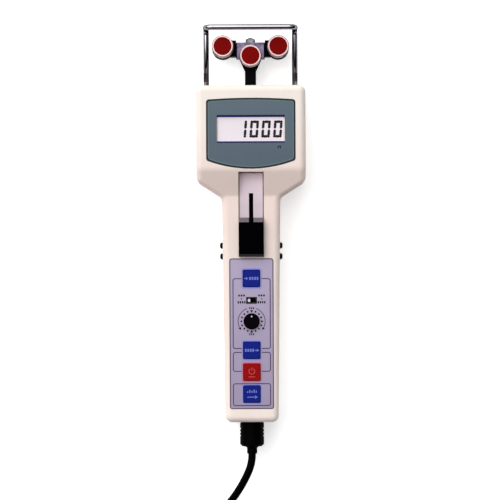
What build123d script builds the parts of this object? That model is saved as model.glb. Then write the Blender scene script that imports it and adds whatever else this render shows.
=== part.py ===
from build123d import *
import math
import os

# Hand-held digital tension gauge. A line under test runs under two outer rollers and over a middle
# roller; the middle roller sits on an arm that bends a load cell, and a thumb slide pushes the outer
# rollers away so that the line can be laid in. The gauge lies on its back with the display upwards.
#
# Every piece is drawn with Y counted from the tail of the housing, X from its middle plane and Z from
# its back, and is moved along Y on export, so that the origin is under the middle of the whole gauge.
# +X is the reader's right, +Y points from the tail to the rollers and +Z comes out of the display.
# All sizes are millimetres. A name ending in _X, _Y or _Z is a place; the others are sizes.

# ---- Clearances --------------------------------------------------------------------------------
PRESS_GAP = 0.02     # radial, round a bearing in its seat
RUNNING_GAP = 0.03   # radial, between a bearing and its axle
FIXED_GAP = 0.1      # between fixed pieces and their pockets
SLIDE_GAP = 0.2      # beside pieces that slide
REST_GAP = 0.3       # between a sprung piece and its stop, and between turning curved faces
BEYOND = 1.0         # how far cutting tools run past a face
HAIR = 0.001         # how near a corner or an edge lies to the place it is looked for

# ---- Housing -----------------------------------------------------------------------------------
GRIP_LENGTH = 146.5      # from the tail to the foot of the shoulders
SHOULDER_LENGTH = 10.5
HEAD_LENGTH = 62.0       # from the top of the shoulders to the head end
TAIL_WIDTH = 34.8
NECK_WIDTH = 38.0
HEAD_WIDTH = 71.0
GRIP_DEPTH = 31.0
HEAD_RISE = 8.0          # how far the head's front stands above the grip's
RAMP_START = 1.0         # from the foot of the shoulders to the foot of the ramp
RAMP_LENGTH = 17.0
RAMP_FOOT_BLEND = 4.0
RAMP_HEAD_BLEND = 8.0
TAIL_CORNER = 4.5
NECK_CORNER = 6.0
SHOULDER_CORNER = 4.5
HEAD_CORNER = 4.5
FRONT_EDGE = 4.0
REAR_EDGE = 3.0
WALL = 2.2
SEAM_Z = 16.0            # the seam between the two shells
SEAM_GROOVE = 0.35
LIP_HEIGHT = 1.5
LIP_THICKNESS = 1.0

# ---- Display -----------------------------------------------------------------------------------
BEZEL_SIDE = 6.7         # from the head's side to the bezel
BEZEL_HEAD_MARGIN = 9.65 # from the head end to the bezel's upper corners
BEZEL_HEIGHT = 39.1      # along the bezel's straight sides
BEZEL_HEAD_BOW = 1.1     # how far the upper edge bulges past its corners
BEZEL_FOOT_BOW = 5.4
BEZEL_CORNER = 2.0
BEZEL_THICKNESS = 1.2
BEZEL_CHAMFER = 0.3
WINDOW_WIDTH = 44.0
WINDOW_HEIGHT = 18.1
WINDOW_DROP = 18.9       # from the bezel's upper corners to the middle of the window
WINDOW_CORNER = 0.5
WINDOW_THICKNESS = 0.8
WINDOW_LEDGE = 0.8       # of the housing, under the window's edges
LCD_MARGIN = 3.1
LCD_THICKNESS = 2.8
LCD_LEDGE = 2.5          # of the rear glass, past the front one
LCD_FRONT_GLASS = 1.1
DISPLAY_BOARD_SIDE = 4.6     # past the panel at each side
DISPLAY_BOARD_END = 1.5      # past the panel at head and foot
BOARD_THICKNESS = 1.6
POST_RADIUS = 1.8
POST_MARGIN = 2.4            # from a board's edge to the middle of a post

# ---- Control field on the grip -----------------------------------------------------------------
OVERLAY_WIDTH = 28.6
OVERLAY_LENGTH = 97.9
OVERLAY_TAIL_MARGIN = 8.9
OVERLAY_CORNER = 1.6
OVERLAY_THICKNESS = 0.5
KEY_SIZE = 11.2
KEY_CORNER = 0.8
KEY_CHAMFER = 0.4
KEY_PROUD = 0.8
KEY_TRAVEL = 0.6
KEY_FLANGE_REACH = 0.8
KEY_FLANGE = 0.8
KEY_PITCH = 14.25
FIRST_KEY_MARGIN = 9.7   # from the overlay's foot to the middle of the lowest key
LAST_KEY_MARGIN = 13.0   # from the overlay's head to the middle of the highest key
KEY_SWITCH_SIZE = 6.0
KEY_SWITCH_BODY = 2.6
PLUNGER_HEIGHT = 0.8
PLUNGER_RADIUS = 1.75
KNOB_RISE = 18.8         # from the third key to the knob
KNOB_RADIUS = 5.0
KNOB_PROUD = 2.4
KNOB_CHAMFER = 0.5
KNOB_FLUTES = 16
KNOB_FLUTE_RADIUS = 0.5
KNOB_STEM_RADIUS = 1.5
SELECTOR_SIZE = 10.0
SELECTOR_HEIGHT = 3.4
SELECTOR_FLOOR = 1.0
RANGE_RISE = 13.6        # from the knob to the range lever
RANGE_TRAVEL = 3.2
LEVER_LENGTH = 2.2
LEVER_WIDTH = 2.8
LEVER_PROUD = 0.5
LEVER_CHAMFER = 0.3
RANGE_WALL = 1.8
RANGE_FLOOR = 2.0
BOARD_TAIL_MARGIN = 2.4  # from the tail screws' bosses to the main board
BOARD_WIDTH = 29.4
CHIP_SIZE = (7.0, 9.0, 1.4)
CHIP_X = 9.0
CHIP_ROWS = (56.0, 68.0)

# ---- Thumb slide -------------------------------------------------------------------------------
SLIDE_TRAVEL = 15.0
THUMB_WIDTH = 16.0
THUMB_LENGTH = 25.2
THUMB_HEIGHT = 6.2
THUMB_HOLLOW = 0.7       # depth of the dished top
THUMB_SILL = 2.0         # height of the upright face at the head end
THUMB_SLOPE = 3.0        # length of the slope above it
THUMB_HEEL = 1.6
THUMB_CHAMFER = 0.5
CHANNEL_DEPTH = 2.0      # from the grip's front down to the channel's floor
CHANNEL_FOOT_MARGIN = 0.9    # from the overlay to the channel
CHANNEL_HEAD_MARGIN = 1.6    # from the channel to the top of the ramp
TROUGH_WALL = 2.0
SLIDE_PLATE = 0.8
SLOT_SPARE = 1.3         # of the slot, past the link at full travel
LINK_SETBACK = 2.3       # from the thumb slide's head to the middle of the link
LINK_LENGTH = 4.0
LINK_THICKNESS = 2.2
LINK_FOOT_LENGTH = 12.0
LINK_FOOT = 1.2
LINK_GRIP = 3.2          # how far the link stands into the thumb slide

# ---- Slide bar, guides and spring --------------------------------------------------------------
BAR_WIDTH = 5.0
BAR_THICKNESS = 3.0
BAR_STUD_RADIUS = 1.5
BAR_STUD_END = 0.6       # past the nut
BAR_SHOULDER_DEPTH = 2.4
BAR_SPARE = 1.5          # left in the tail guide at full travel
COLLAR_LENGTH = 2.0
COLLAR_WIDTH = 8.0
COLLAR_HEIGHT = 5.6
GUIDE_LENGTH = 5.0
GUIDE_WIDTH = 12.0
GUIDE_ROOF = 2.2
GUIDE_CHAMFER = 1.0
HEAD_GUIDE_SETBACK = 18.0    # from the head end
SPRING_LENGTH = 32.0
SPRING_RADIUS = 3.5
SPRING_WIRE = 0.7
SPRING_TURNS = 6
SPRING_CLEARANCE = 0.45      # above the chassis
CHASSIS_THICKNESS = 1.6
CHASSIS_WIDTH = 26.0
CHASSIS_SHELF_MARGIN = 1.0   # past the load cell
CHASSIS_HEAD_SETBACK = 10.0  # from the head end
EAR_MARGIN = 4.6             # from the first side screw to the ears' foot
EAR_TOP = 25.0
CHASSIS_TONGUE = 2.5         # of the plate, past the ears

# ---- Measuring head ----------------------------------------------------------------------------
ROLLER_RADIUS = 7.15
ROLLER_WIDTH = 8.0
ROLLER_ROOT = 4.9
ROLLER_ROOT_WIDTH = 0.8
ROLLER_LAND = 1.5
ROLLER_CHAMFER = 0.5
ROLLER_SHOULDER = 0.6        # that the bearing sits against
ROLLER_CLEARANCE = 0.8       # from the arms to the rollers
CAP_RADIUS = 5.85
CAP_THICKNESS = 1.0
CAP_PROUD = 0.3
BEARING_BORE = 1.5
BEARING_RADIUS = 3.5
BEARING_WIDTH = 4.4
BEARING_LIP = 0.9            # from a roller's rear face to its bearing
BOSS_RADIUS = 2.5
BOSS_FOOT = 0.8              # how much wider an outer arm's boss is at its foot
AXLE_HEAD_RADIUS = 2.5
AXLE_HEAD = 1.3
AXLE_SLOT_WIDTH = 0.8
AXLE_SLOT_DEPTH = 0.6
MIDDLE_ROLLER_REACH = 20.6   # from the head end to the middle roller's axis
OUTER_ROLLER_LEAD = 6.15     # from the middle roller's axis to the outer ones'
OUTER_ROLLER_X = 18.25
ARM_WIDTH = 7.3
ARM_THICKNESS = 3.6
ARM_CLEARANCE = 0.4          # above the carrier
ARM_HEAD_RADIUS = 7.3
ARM_NECK = 9.5               # from the roller's axis to where the stem starts to widen
ARM_SETBACK = 32.0           # from the head end to the arm's foot
ARM_PAD_WIDTH = 10.0
ARM_PAD_LENGTH = 12.0
ARM_PAD_CORNER = 1.0
CELL_LENGTH = 29.5
CELL_THICKNESS = 6.2
CELL_OVERHANG = 5.5          # past the middle plane
CELL_SCREW_MARGIN = 3.3
CELL_SCREW_PITCH = 6.0
CELL_HOLE_RADIUS = 3.9
CELL_HOLE_PITCH = 8.0
CELL_SLOT = 2.0
CARRIER_WIDTH = 18.8
CARRIER_TAIL = 6.7           # from the outer rollers' axes towards the tail
CARRIER_LEAD = 3.9
CARRIER_COVER = 2.2          # over and under the slide bar
CARRIER_CHAMFER = 0.6
OUTER_ARM_LEAD = 1.4         # of an outer arm, past the carrier's head side
OUTER_ARM_STEP = 1.3         # from the carrier's tail side to an outer arm
TONGUE_END = 4.0             # past the outer rollers' axes
TONGUE_CORNER = 3.0
NUT_FLATS = 5.5
NUT_THICKNESS = 2.6
NUT_CHAMFER = 0.35
BOW_WIRE = 3.6
BOW_SIDE = 6.3               # from the head's side to a leg
BOW_REACH = 38.5             # from the head end to the middle of the cross wire
BOW_RISE = 13.5
BOW_BEND = 4.0
BOW_SOCKET = 12.0            # depth of the legs' sockets
BOW_BOSS = 6.6

# ---- Fasteners, battery bay and connector ------------------------------------------------------
TAIL_SCREW_Y = 8.5
WAIST_SCREW_MARGIN = 7.0     # from the battery door
HEAD_SCREW_SIDE = 8.5        # from the head's side
HEAD_SCREW_MARGIN = 15.2     # from the top of the shoulders
SCREW_RADIUS = 1.45
SCREW_HEAD_RADIUS = 2.6
SCREW_HEAD = 1.6
SCREW_SOCKET_RADIUS = 1.3
SCREW_SOCKET = 0.9
SCREW_BITE = 9.0             # past the seam
CASE_BOSS_RADIUS = 3.6
COUNTERBORE = 2.4
SIDE_SCREW_PITCH = 7.1
SIDE_SCREW_Z = 20.0
SIDE_SCREW_RADIUS = 1.2
SIDE_SCREW_HEAD_RADIUS = 2.1
SIDE_SCREW_PROUD = 1.8
SIDE_SCREW_CHAMFER = 0.8
SIDE_SCREW_SLOT = (0.5, 3.6, 0.6)   # depth, length and width
DOOR_SIDE = 4.4              # from the tail's side to the door's skin
DOOR_FLANGE_REACH = 1.4
DOOR_RECESS = 0.3
DOOR_SKIN = 1.0
DOOR_FLANGE = 1.0
DOOR_TRAVEL = 18.0
DOOR_GRIPS = 4
DOOR_GRIP_PITCH = 2.2
DOOR_GRIP_WIDTH = 1.0
DOOR_GRIP_DEPTH = 0.4
DOOR_GRIP_MARGIN = 12.0
BAY_MARGIN = 5.2             # from the socket to the bay's partition
BAY_CEILING = 1.2            # of the rails over the door's flanges
BATTERY_RADIUS = 7.1
BATTERY_LENGTH = 50.0
BATTERY_NUB = 1.0
BATTERY_NUB_RADIUS = 2.7
BATTERY_PLAY = 1.8
PARTITION = 1.8
PARTITION_TOP = 15.0
CONTACT_WIDTH = 11.0
CONTACT_HEIGHT = 8.0
CONTACT_THICKNESS = 0.4
CONTACT_BUMP = 0.6
CONTACT_BUMP_RADIUS = 2.4
SOCKET_RADIUS = 7.9
SOCKET_BORE = 6.8
SOCKET_BORE_DEPTH = 9.5
SOCKET_LENGTH = 12.4
SOCKET_RECESS = 0.6
SOCKET_FLANGE_RADIUS = 9.2
SOCKET_FLANGE = 1.2

# ---- Connecting lead ---------------------------------------------------------------------------
CORD_RADIUS = 2.5
PLUG_RADIUS = 7.9
PLUG_LENGTH = 15.0
PLUG_CHAMFER = 1.2
PLUG_COLLAR_STEP = 0.5
PLUG_COLLAR = 1.4
PLUG_NECK_RADIUS = 3.35
PLUG_NECK = 5.0
PLUG_NECK_BLEND = 1.4
PLUG_GRIPS = 3
PLUG_GRIP_START = 5.0
PLUG_GRIP_PITCH = 2.4
PLUG_GRIP_LENGTH = 6.0
PLUG_GRIP_WIDTH = 1.0
PLUG_GRIP_DEPTH = 0.5
PLUG_SHELL_WALL = 0.5
PLUG_SHELL_LENGTH = 9.0
PLUG_KEYWAY = (2.4, 2.0, 5.0)
PLUG_INSERT_RECESS = 6.0
PIN_RADIUS = 0.7
PIN_CIRCLE = 3.75
PIN_COUNT = 5
PIN_RECESS = 1.5
COIL_X, COIL_Y = 0.0, -102.0
COIL_OUTER = 41.6
COIL_INNER = 18.5
COIL_HEIGHT = 10.0
COIL_CHAMFER = 1.5
TIE_THICKNESS = 0.8
TIE_WIDTH = 8.0
FAR_PLUG_X, FAR_PLUG_Y = 27.0, -154.3    # where the cord enters the far plug's neck

# ---- Sizes and places that follow: housing and display -------------------------------------------
SHOULDER_TOP_Y = GRIP_LENGTH + SHOULDER_LENGTH
HOUSING_LENGTH = SHOULDER_TOP_Y + HEAD_LENGTH
BOW_Y = HOUSING_LENGTH + BOW_REACH
TOTAL_LENGTH = BOW_Y + BOW_WIRE / 2
HEAD_DEPTH = GRIP_DEPTH + HEAD_RISE
GRIP_INNER_Z = GRIP_DEPTH - WALL
HEAD_INNER_Z = HEAD_DEPTH - WALL
RAMP_FOOT_Y = GRIP_LENGTH + RAMP_START
RAMP_TOP_Y = RAMP_FOOT_Y + RAMP_LENGTH
BEZEL_WIDTH = HEAD_WIDTH - 2 * BEZEL_SIDE
BEZEL_HEAD_Y = HOUSING_LENGTH - BEZEL_HEAD_MARGIN
BEZEL_FOOT_Y = BEZEL_HEAD_Y - BEZEL_HEIGHT
BEZEL_REAR_Z = HEAD_DEPTH - BEZEL_THICKNESS
WINDOW_Y = BEZEL_HEAD_Y - WINDOW_DROP
LCD_WIDTH = WINDOW_WIDTH + 2 * LCD_MARGIN
LCD_HEIGHT = WINDOW_HEIGHT + 2 * LCD_MARGIN
LCD_REAR_Z = HEAD_INNER_Z - LCD_THICKNESS
DISPLAY_BOARD_WIDTH = LCD_WIDTH + 2 * DISPLAY_BOARD_SIDE
DISPLAY_BOARD_HEIGHT = LCD_HEIGHT + 2 * DISPLAY_BOARD_END

# ---- Sizes and places that follow: controls and thumb slide ----------------------------------------
OVERLAY_FOOT_Y = OVERLAY_TAIL_MARGIN
OVERLAY_HEAD_Y = OVERLAY_FOOT_Y + OVERLAY_LENGTH
CHANNEL_FOOT_Y = OVERLAY_HEAD_Y + CHANNEL_FOOT_MARGIN
CHANNEL_HEAD_Y = RAMP_TOP_Y - CHANNEL_HEAD_MARGIN
CHANNEL_WIDTH = THUMB_WIDTH + 2 * SLIDE_GAP
CHANNEL_FLOOR_Z = GRIP_DEPTH - CHANNEL_DEPTH
SLIDE_PLATE_TOP_Z = CHANNEL_FLOOR_Z + SLIDE_PLATE
THUMB_FOOT_Y = CHANNEL_FOOT_Y + 2 * SLIDE_GAP
THUMB_HEAD_Y = THUMB_FOOT_Y + THUMB_LENGTH
THUMB_REAR_Z = SLIDE_PLATE_TOP_Z + FIXED_GAP
THUMB_FRONT_Z = THUMB_REAR_Z + THUMB_HEIGHT
LINK_Y = THUMB_HEAD_Y - LINK_SETBACK
SLOT_WIDTH = LINK_THICKNESS + 3 * SLIDE_GAP
SLOT_FOOT_Y = LINK_Y - LINK_LENGTH / 2 - 2 * SLIDE_GAP
SLOT_HEAD_Y = LINK_Y + LINK_LENGTH / 2 + SLIDE_TRAVEL + SLOT_SPARE
OUTPUT_KEY_Y = OVERLAY_FOOT_Y + FIRST_KEY_MARGIN
POWER_KEY_Y = OUTPUT_KEY_Y + KEY_PITCH
RECALL_KEY_Y = POWER_KEY_Y + KEY_PITCH
MEMORY_KEY_Y = OVERLAY_HEAD_Y - LAST_KEY_MARGIN
KEY_ROWS = {
    "memory_key": MEMORY_KEY_Y,
    "recall_key": RECALL_KEY_Y,
    "power_key": POWER_KEY_Y,
    "output_key": OUTPUT_KEY_Y,
}
KEY_HOLE = KEY_SIZE + 2 * SLIDE_GAP
KEY_STOP_Z = GRIP_INNER_Z - REST_GAP
KEY_REAR_Z = KEY_STOP_Z - KEY_FLANGE
PLUNGER_TOP_Z = KEY_REAR_Z - KEY_TRAVEL - FIXED_GAP
BOARD_FRONT_Z = PLUNGER_TOP_Z - PLUNGER_HEIGHT - KEY_SWITCH_BODY
BOARD_REAR_Z = BOARD_FRONT_Z - BOARD_THICKNESS
KNOB_Y = RECALL_KEY_Y + KNOB_RISE
KNOB_REAR_Z = BOARD_FRONT_Z + SELECTOR_HEIGHT + REST_GAP
RANGE_Y = KNOB_Y + RANGE_RISE
RANGE_SLOT_LENGTH = LEVER_LENGTH + RANGE_TRAVEL + 4 * SLIDE_GAP
RANGE_SLOT_WIDTH = LEVER_WIDTH + 4 * SLIDE_GAP

# ---- Sizes and places that follow: slide bar and measuring head --------------------------------------
CHASSIS_TOP_Z = WALL + CHASSIS_THICKNESS
BAR_Z = CHASSIS_TOP_Z + SPRING_CLEARANCE + SPRING_RADIUS + SPRING_WIRE / 2
BAR_REAR_Z = BAR_Z - BAR_THICKNESS / 2
BAR_FRONT_Z = BAR_Z + BAR_THICKNESS / 2
TAIL_GUIDE_Y = LINK_Y - LINK_FOOT_LENGTH / 2 - BEYOND - GUIDE_LENGTH
HEAD_GUIDE_Y = HOUSING_LENGTH - HEAD_GUIDE_SETBACK
BAR_FOOT_Y = TAIL_GUIDE_Y - SLIDE_TRAVEL - BAR_SPARE
COLLAR_Y = HEAD_GUIDE_Y - SPRING_LENGTH - COLLAR_LENGTH
SIDE_SCREW_ROWS = (THUMB_FOOT_Y, THUMB_FOOT_Y + SIDE_SCREW_PITCH)
EAR_FOOT_Y = SIDE_SCREW_ROWS[0] - EAR_MARGIN
EAR_HEAD_Y = TAIL_GUIDE_Y - 2 * SLIDE_GAP
CHASSIS_FOOT_Y = EAR_FOOT_Y - CHASSIS_TONGUE
CHASSIS_HEAD_Y = HOUSING_LENGTH - CHASSIS_HEAD_SETBACK
MIDDLE_ROLLER_Y = HOUSING_LENGTH + MIDDLE_ROLLER_REACH
OUTER_ROLLER_Y = MIDDLE_ROLLER_Y + OUTER_ROLLER_LEAD
CARRIER_FOOT_Y = OUTER_ROLLER_Y - CARRIER_TAIL
CARRIER_HEAD_Y = OUTER_ROLLER_Y + CARRIER_LEAD
CARRIER_REAR_Z = BAR_REAR_Z - CARRIER_COVER
CARRIER_FRONT_Z = BAR_FRONT_Z + CARRIER_COVER
BAR_SHOULDER_Y = CARRIER_HEAD_Y - BAR_SHOULDER_DEPTH
ARM_REAR_Z = CARRIER_FRONT_Z + ARM_CLEARANCE
ARM_FRONT_Z = ARM_REAR_Z + ARM_THICKNESS
ARM_FOOT_Y = HOUSING_LENGTH - ARM_SETBACK
ARM_PAD_Y = ARM_FOOT_Y + ARM_PAD_LENGTH / 2
ROLLER_REAR_Z = ARM_FRONT_Z + ROLLER_CLEARANCE
ROLLER_FRONT_Z = ROLLER_REAR_Z + ROLLER_WIDTH
BEARING_REAR_Z = ROLLER_REAR_Z + BEARING_LIP
BEARING_FRONT_Z = BEARING_REAR_Z + BEARING_WIDTH
BOSS_FRONT_Z = BEARING_REAR_Z - FIXED_GAP
CELL_RIGHT_X = CELL_OVERHANG
CELL_LEFT_X = CELL_RIGHT_X - CELL_LENGTH
CELL_FRONT_Z = ARM_FRONT_Z + CELL_THICKNESS
FRAME_SCREW_X = CELL_LEFT_X + CELL_SCREW_MARGIN
ARM_SCREW_X = CELL_RIGHT_X - CELL_SCREW_MARGIN
CELL_MIDDLE_X = (FRAME_SCREW_X + ARM_SCREW_X) / 2
CELL_SCREW_ROWS = (ARM_PAD_Y - CELL_SCREW_PITCH / 2, ARM_PAD_Y + CELL_SCREW_PITCH / 2)
BOW_X = HEAD_WIDTH / 2 - BOW_SIDE
BOW_FRONT_Z = SEAM_Z + BOW_RISE
BOW_FOOT_Y = HOUSING_LENGTH - BOW_SOCKET

# ---- Sizes and places that follow: battery bay, screws and lead -----------------------------------------
DOOR_SKIN_WIDTH = TAIL_WIDTH - 2 * DOOR_SIDE
DOOR_FLANGE_WIDTH = DOOR_SKIN_WIDTH + 2 * DOOR_FLANGE_REACH
DOOR_SKIN_FRONT_Z = DOOR_RECESS + DOOR_SKIN
DOOR_FRONT_Z = DOOR_SKIN_FRONT_Z + DOOR_FLANGE
BAY_FLOOR_Z = DOOR_FRONT_Z + FIXED_GAP
RAIL_FRONT_Z = BAY_FLOOR_Z + BAY_CEILING
BATTERY_Z = BAY_FLOOR_Z + REST_GAP + BATTERY_RADIUS
BATTERY_X = BATTERY_RADIUS + SLIDE_GAP
BATTERY_REACH = CONTACT_THICKNESS + CONTACT_BUMP + REST_GAP
BAY_FOOT_Y = SOCKET_RECESS + SOCKET_LENGTH + BAY_MARGIN + PARTITION
BAY_HEAD_Y = BAY_FOOT_Y + BATTERY_LENGTH + BATTERY_NUB + 2 * BATTERY_REACH + BATTERY_PLAY
DOOR_HEAD_Y = BAY_HEAD_Y + PARTITION + SLIDE_GAP
WAIST_SCREW_Y = DOOR_HEAD_Y + WAIST_SCREW_MARGIN
SCREW_TOP_Z = SEAM_Z + SCREW_BITE
PLUG_COLLAR_RADIUS = PLUG_RADIUS - PLUG_COLLAR_STEP
PLUG_SHELL_RADIUS = SOCKET_BORE - SLIDE_GAP
PLUG_BODY_END = PLUG_COLLAR + PLUG_LENGTH
PLUG_OVERALL = PLUG_BODY_END + PLUG_NECK
INSERT_LENGTH = PLUG_SHELL_LENGTH - PLUG_INSERT_RECESS
COIL_REAR_Z = TIE_THICKNESS
LEAD_EXIT_Y = -REST_GAP - PLUG_OVERALL
LEAD_ROUTE = [
    (0.0, LEAD_EXIT_Y, SEAM_Z),
    (0.0, LEAD_EXIT_Y - 6.5, SEAM_Z),
    (-4.8, LEAD_EXIT_Y - 17.8, SEAM_Z - 2.0),
    (-11.5, LEAD_EXIT_Y - 29.3, SEAM_Z - 7.0),
    (-20.5, LEAD_EXIT_Y - 40.8, CORD_RADIUS + 1.4),
    (-31.5, LEAD_EXIT_Y - 52.8, CORD_RADIUS + 0.3),
    (COIL_X - 37.7, COIL_Y + 11.5, CORD_RADIUS + TIE_THICKNESS),
]
TAIL_ROUTE = [
    (COIL_X - 9.5, COIL_Y - 38.2, COIL_REAR_Z + COIL_HEIGHT - CORD_RADIUS),
    (COIL_X + 4.0, COIL_Y - 44.3, PLUG_RADIUS - 0.2),
    (FAR_PLUG_X - 10.0, FAR_PLUG_Y, PLUG_RADIUS),
    (FAR_PLUG_X, FAR_PLUG_Y, PLUG_RADIUS),
]
BEND_SHARE = 0.45        # of the shorter run beside a corner that its arc may take
NEAR_PLUG = Pos(0, -REST_GAP, SEAM_Z) * Rot(-90, 0, 0)
FAR_PLUG = Pos(FAR_PLUG_X + PLUG_OVERALL, FAR_PLUG_Y, PLUG_RADIUS) * Rot(0, 90, 0)


def grip_half_width(y):
    """Half the grip's width at Y."""
    return (TAIL_WIDTH + (NECK_WIDTH - TAIL_WIDTH) * y / GRIP_LENGTH) / 2


# X either side of the middle plane, and Y
CASE_SCREWS = (
    (SOCKET_RADIUS + SLIDE_GAP + CASE_BOSS_RADIUS, TAIL_SCREW_Y),
    (grip_half_width(WAIST_SCREW_Y) - WALL + FIXED_GAP - CASE_BOSS_RADIUS, WAIST_SCREW_Y),
    (HEAD_WIDTH / 2 - HEAD_SCREW_SIDE, SHOULDER_TOP_Y + HEAD_SCREW_MARGIN),
)
EAR_X = grip_half_width(EAR_FOOT_Y) - WALL - SLIDE_GAP
BOARD_FOOT_Y = TAIL_SCREW_Y + CASE_BOSS_RADIUS + BOARD_TAIL_MARGIN
BOARD_HEAD_Y = EAR_FOOT_Y - BEYOND


# ---- Drawing helpers -----------------------------------------------------------------------------
def block(x0, x1, y0, y1, z0, z1):
    """A box between two corners."""
    return Pos((x0 + x1) / 2, (y0 + y1) / 2, (z0 + z1) / 2) * Box(x1 - x0, y1 - y0, z1 - z0)


def centred(width, y0, y1, z0, z1):
    """A box astride the middle plane."""
    return block(-width / 2, width / 2, y0, y1, z0, z1)


def round_z(x, y, radius, z0, z1):
    """A cylinder along Z."""
    return Pos(x, y, (z0 + z1) / 2) * Cylinder(radius, z1 - z0)


def round_y(x, z, radius, y0, y1):
    """A cylinder along Y."""
    return Pos(x, (y0 + y1) / 2, z) * Rot(90, 0, 0) * Cylinder(radius, y1 - y0)


def round_x(y, z, radius, x0, x1):
    """A cylinder along X."""
    return Pos((x0 + x1) / 2, y, z) * Rot(0, 90, 0) * Cylinder(radius, x1 - x0)


def rounded_pad(width, height, corner, y, z0, z1):
    """A flat pad with rounded corners, its middle at Y."""
    return Pos(0, y, z0) * extrude(RectangleRounded(width, height, corner), z1 - z0)


def both_sides(shape):
    """A shape and its mirror image across the middle plane."""
    return shape + mirror(shape, Plane.YZ)


def together(shapes):
    """All the shapes as one."""
    first, *others = shapes
    for shape in others:
        first += shape
    return first


def apart(*shapes):
    """Separate solids of one node."""
    return Compound([solid for shape in shapes for solid in shape.solids()])


def front_edges(shape):
    """The edges round a shape's front face."""
    return shape.faces().sort_by(Axis.Z)[-1].edges()


# ---- Housing -----------------------------------------------------------------------------------
def plan_outline():
    """The housing seen from the front: tapering grip, shoulders and wide head."""
    right = [
        (TAIL_WIDTH / 2, 0),
        (NECK_WIDTH / 2, GRIP_LENGTH),
        (HEAD_WIDTH / 2, SHOULDER_TOP_Y),
        (HEAD_WIDTH / 2, HOUSING_LENGTH),
    ]
    left = [(-x, y) for x, y in reversed(right)]
    face = make_face(Polyline(*right, *left, close=True))
    corners = (TAIL_CORNER, NECK_CORNER, SHOULDER_CORNER, HEAD_CORNER)
    for (_, level), radius in zip(right, corners):
        face = fillet(face.vertices().filter_by(lambda v: abs(v.Y - level) < HAIR), radius)
    return face


def side_outline():
    """The housing seen from the side: the front rises from the grip to the head."""
    ramp = {RAMP_FOOT_Y: RAMP_FOOT_BLEND, RAMP_TOP_Y: RAMP_HEAD_BLEND}
    face = make_face(
        Polyline(
            (0, 0),
            (HOUSING_LENGTH, 0),
            (HOUSING_LENGTH, HEAD_DEPTH),
            (RAMP_TOP_Y, HEAD_DEPTH),
            (RAMP_FOOT_Y, GRIP_DEPTH),
            (0, GRIP_DEPTH),
            close=True,
        )
    )
    for level, radius in ramp.items():
        face = fillet(face.vertices().filter_by(lambda v: abs(v.X - level) < HAIR), radius)
    return face


def envelope(inset=0.0):
    """The housing as one rounded block, drawn in by an inset on every side."""
    plan, side = plan_outline(), side_outline()
    if inset:
        plan, side = offset(plan, -inset), offset(side, -inset)
    body = extrude(plan, HEAD_DEPTH) & extrude(Plane.YZ * side, HEAD_WIDTH, both=True)
    rear_rim = body.edges().filter_by(lambda e: abs(e.center().Z - inset) < HAIR)
    body = fillet(rear_rim, REAR_EDGE - inset)
    tail_end, head_end = inset + BEYOND / 2, HOUSING_LENGTH - inset - BEYOND / 2

    def on_front_rim(edge):
        middle = edge.center()
        if middle.Z < GRIP_DEPTH - inset - BEYOND / 2:
            return False
        crosses = abs(edge.tangent_at(0.5).X) > 1 - HAIR
        return not crosses or not tail_end < middle.Y < head_end

    return fillet(body.edges().filter_by(on_front_rim), FRONT_EDGE - inset)


def seam_ring(outer_inset, inner_inset, z0, z1):
    """A ring that follows the housing's outline, between two insets."""
    ring = offset(plan_outline(), -outer_inset) - offset(plan_outline(), -inner_inset)
    return Pos(0, 0, z0) * extrude(ring, z1 - z0)


def seam_holes():
    """Round holes shared by both shells at the seam: for the guard bow and the socket."""
    leg_radius = BOW_WIRE / 2 + FIXED_GAP / 2
    leg = round_y(BOW_X, SEAM_Z, leg_radius, BOW_FOOT_Y, HOUSING_LENGTH + BEYOND)
    socket = round_y(0, SEAM_Z, SOCKET_RADIUS + FIXED_GAP, -BEYOND, WALL + BEYOND)
    return both_sides(leg) + socket


def head_window():
    """The opening in the head end for the measuring arm and the slide bar."""
    y0, y1 = HOUSING_LENGTH - WALL - BEYOND, HOUSING_LENGTH + BEYOND
    arm = centred(ARM_WIDTH + 2 * REST_GAP, y0, y1, ARM_REAR_Z - REST_GAP, ARM_FRONT_Z + REST_GAP)
    bar = centred(BAR_WIDTH + 2 * REST_GAP, y0, y1, BAR_REAR_Z - REST_GAP, ARM_REAR_Z)
    return arm + bar


def bow_bosses(z0, z1):
    """Blocks that hold the bow's legs inside the head."""
    y0, y1 = BOW_FOOT_Y, HOUSING_LENGTH - WALL / 2
    return both_sides(block(BOW_X - BOW_BOSS / 2, BOW_X + BOW_BOSS / 2, y0, y1, z0, z1))


def case_bosses(z0, z1):
    """Posts for the case screws."""
    return both_sides(together(round_z(x, y, CASE_BOSS_RADIUS, z0, z1) for x, y in CASE_SCREWS))


def main_board_posts():
    """Posts from the grip's front wall down to the main board."""
    x = BOARD_WIDTH / 2 - POST_MARGIN
    rows = (BOARD_FOOT_Y + 2 * POST_MARGIN, BOARD_HEAD_Y - 2 * POST_MARGIN)
    posts = together(round_z(x, y, POST_RADIUS, BOARD_FRONT_Z, GRIP_DEPTH) for y in rows)
    return both_sides(posts)


def display_board_posts():
    """Posts from the head's front wall down to the display board."""
    x = DISPLAY_BOARD_WIDTH / 2 - POST_MARGIN
    reach = DISPLAY_BOARD_HEIGHT / 2 - POST_MARGIN
    rows = (WINDOW_Y - reach, WINDOW_Y + reach)
    posts = together(round_z(x, y, POST_RADIUS, LCD_REAR_Z, HEAD_DEPTH) for y in rows)
    return both_sides(posts)


def slide_trough():
    """The thickened walls round the thumb slide's channel."""
    width = CHANNEL_WIDTH + 2 * TROUGH_WALL
    y0, y1 = CHANNEL_FOOT_Y - TROUGH_WALL, CHANNEL_HEAD_Y + TROUGH_WALL
    return centred(width, y0, y1, CHANNEL_FLOOR_Z - TROUGH_WALL, HEAD_DEPTH)


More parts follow.
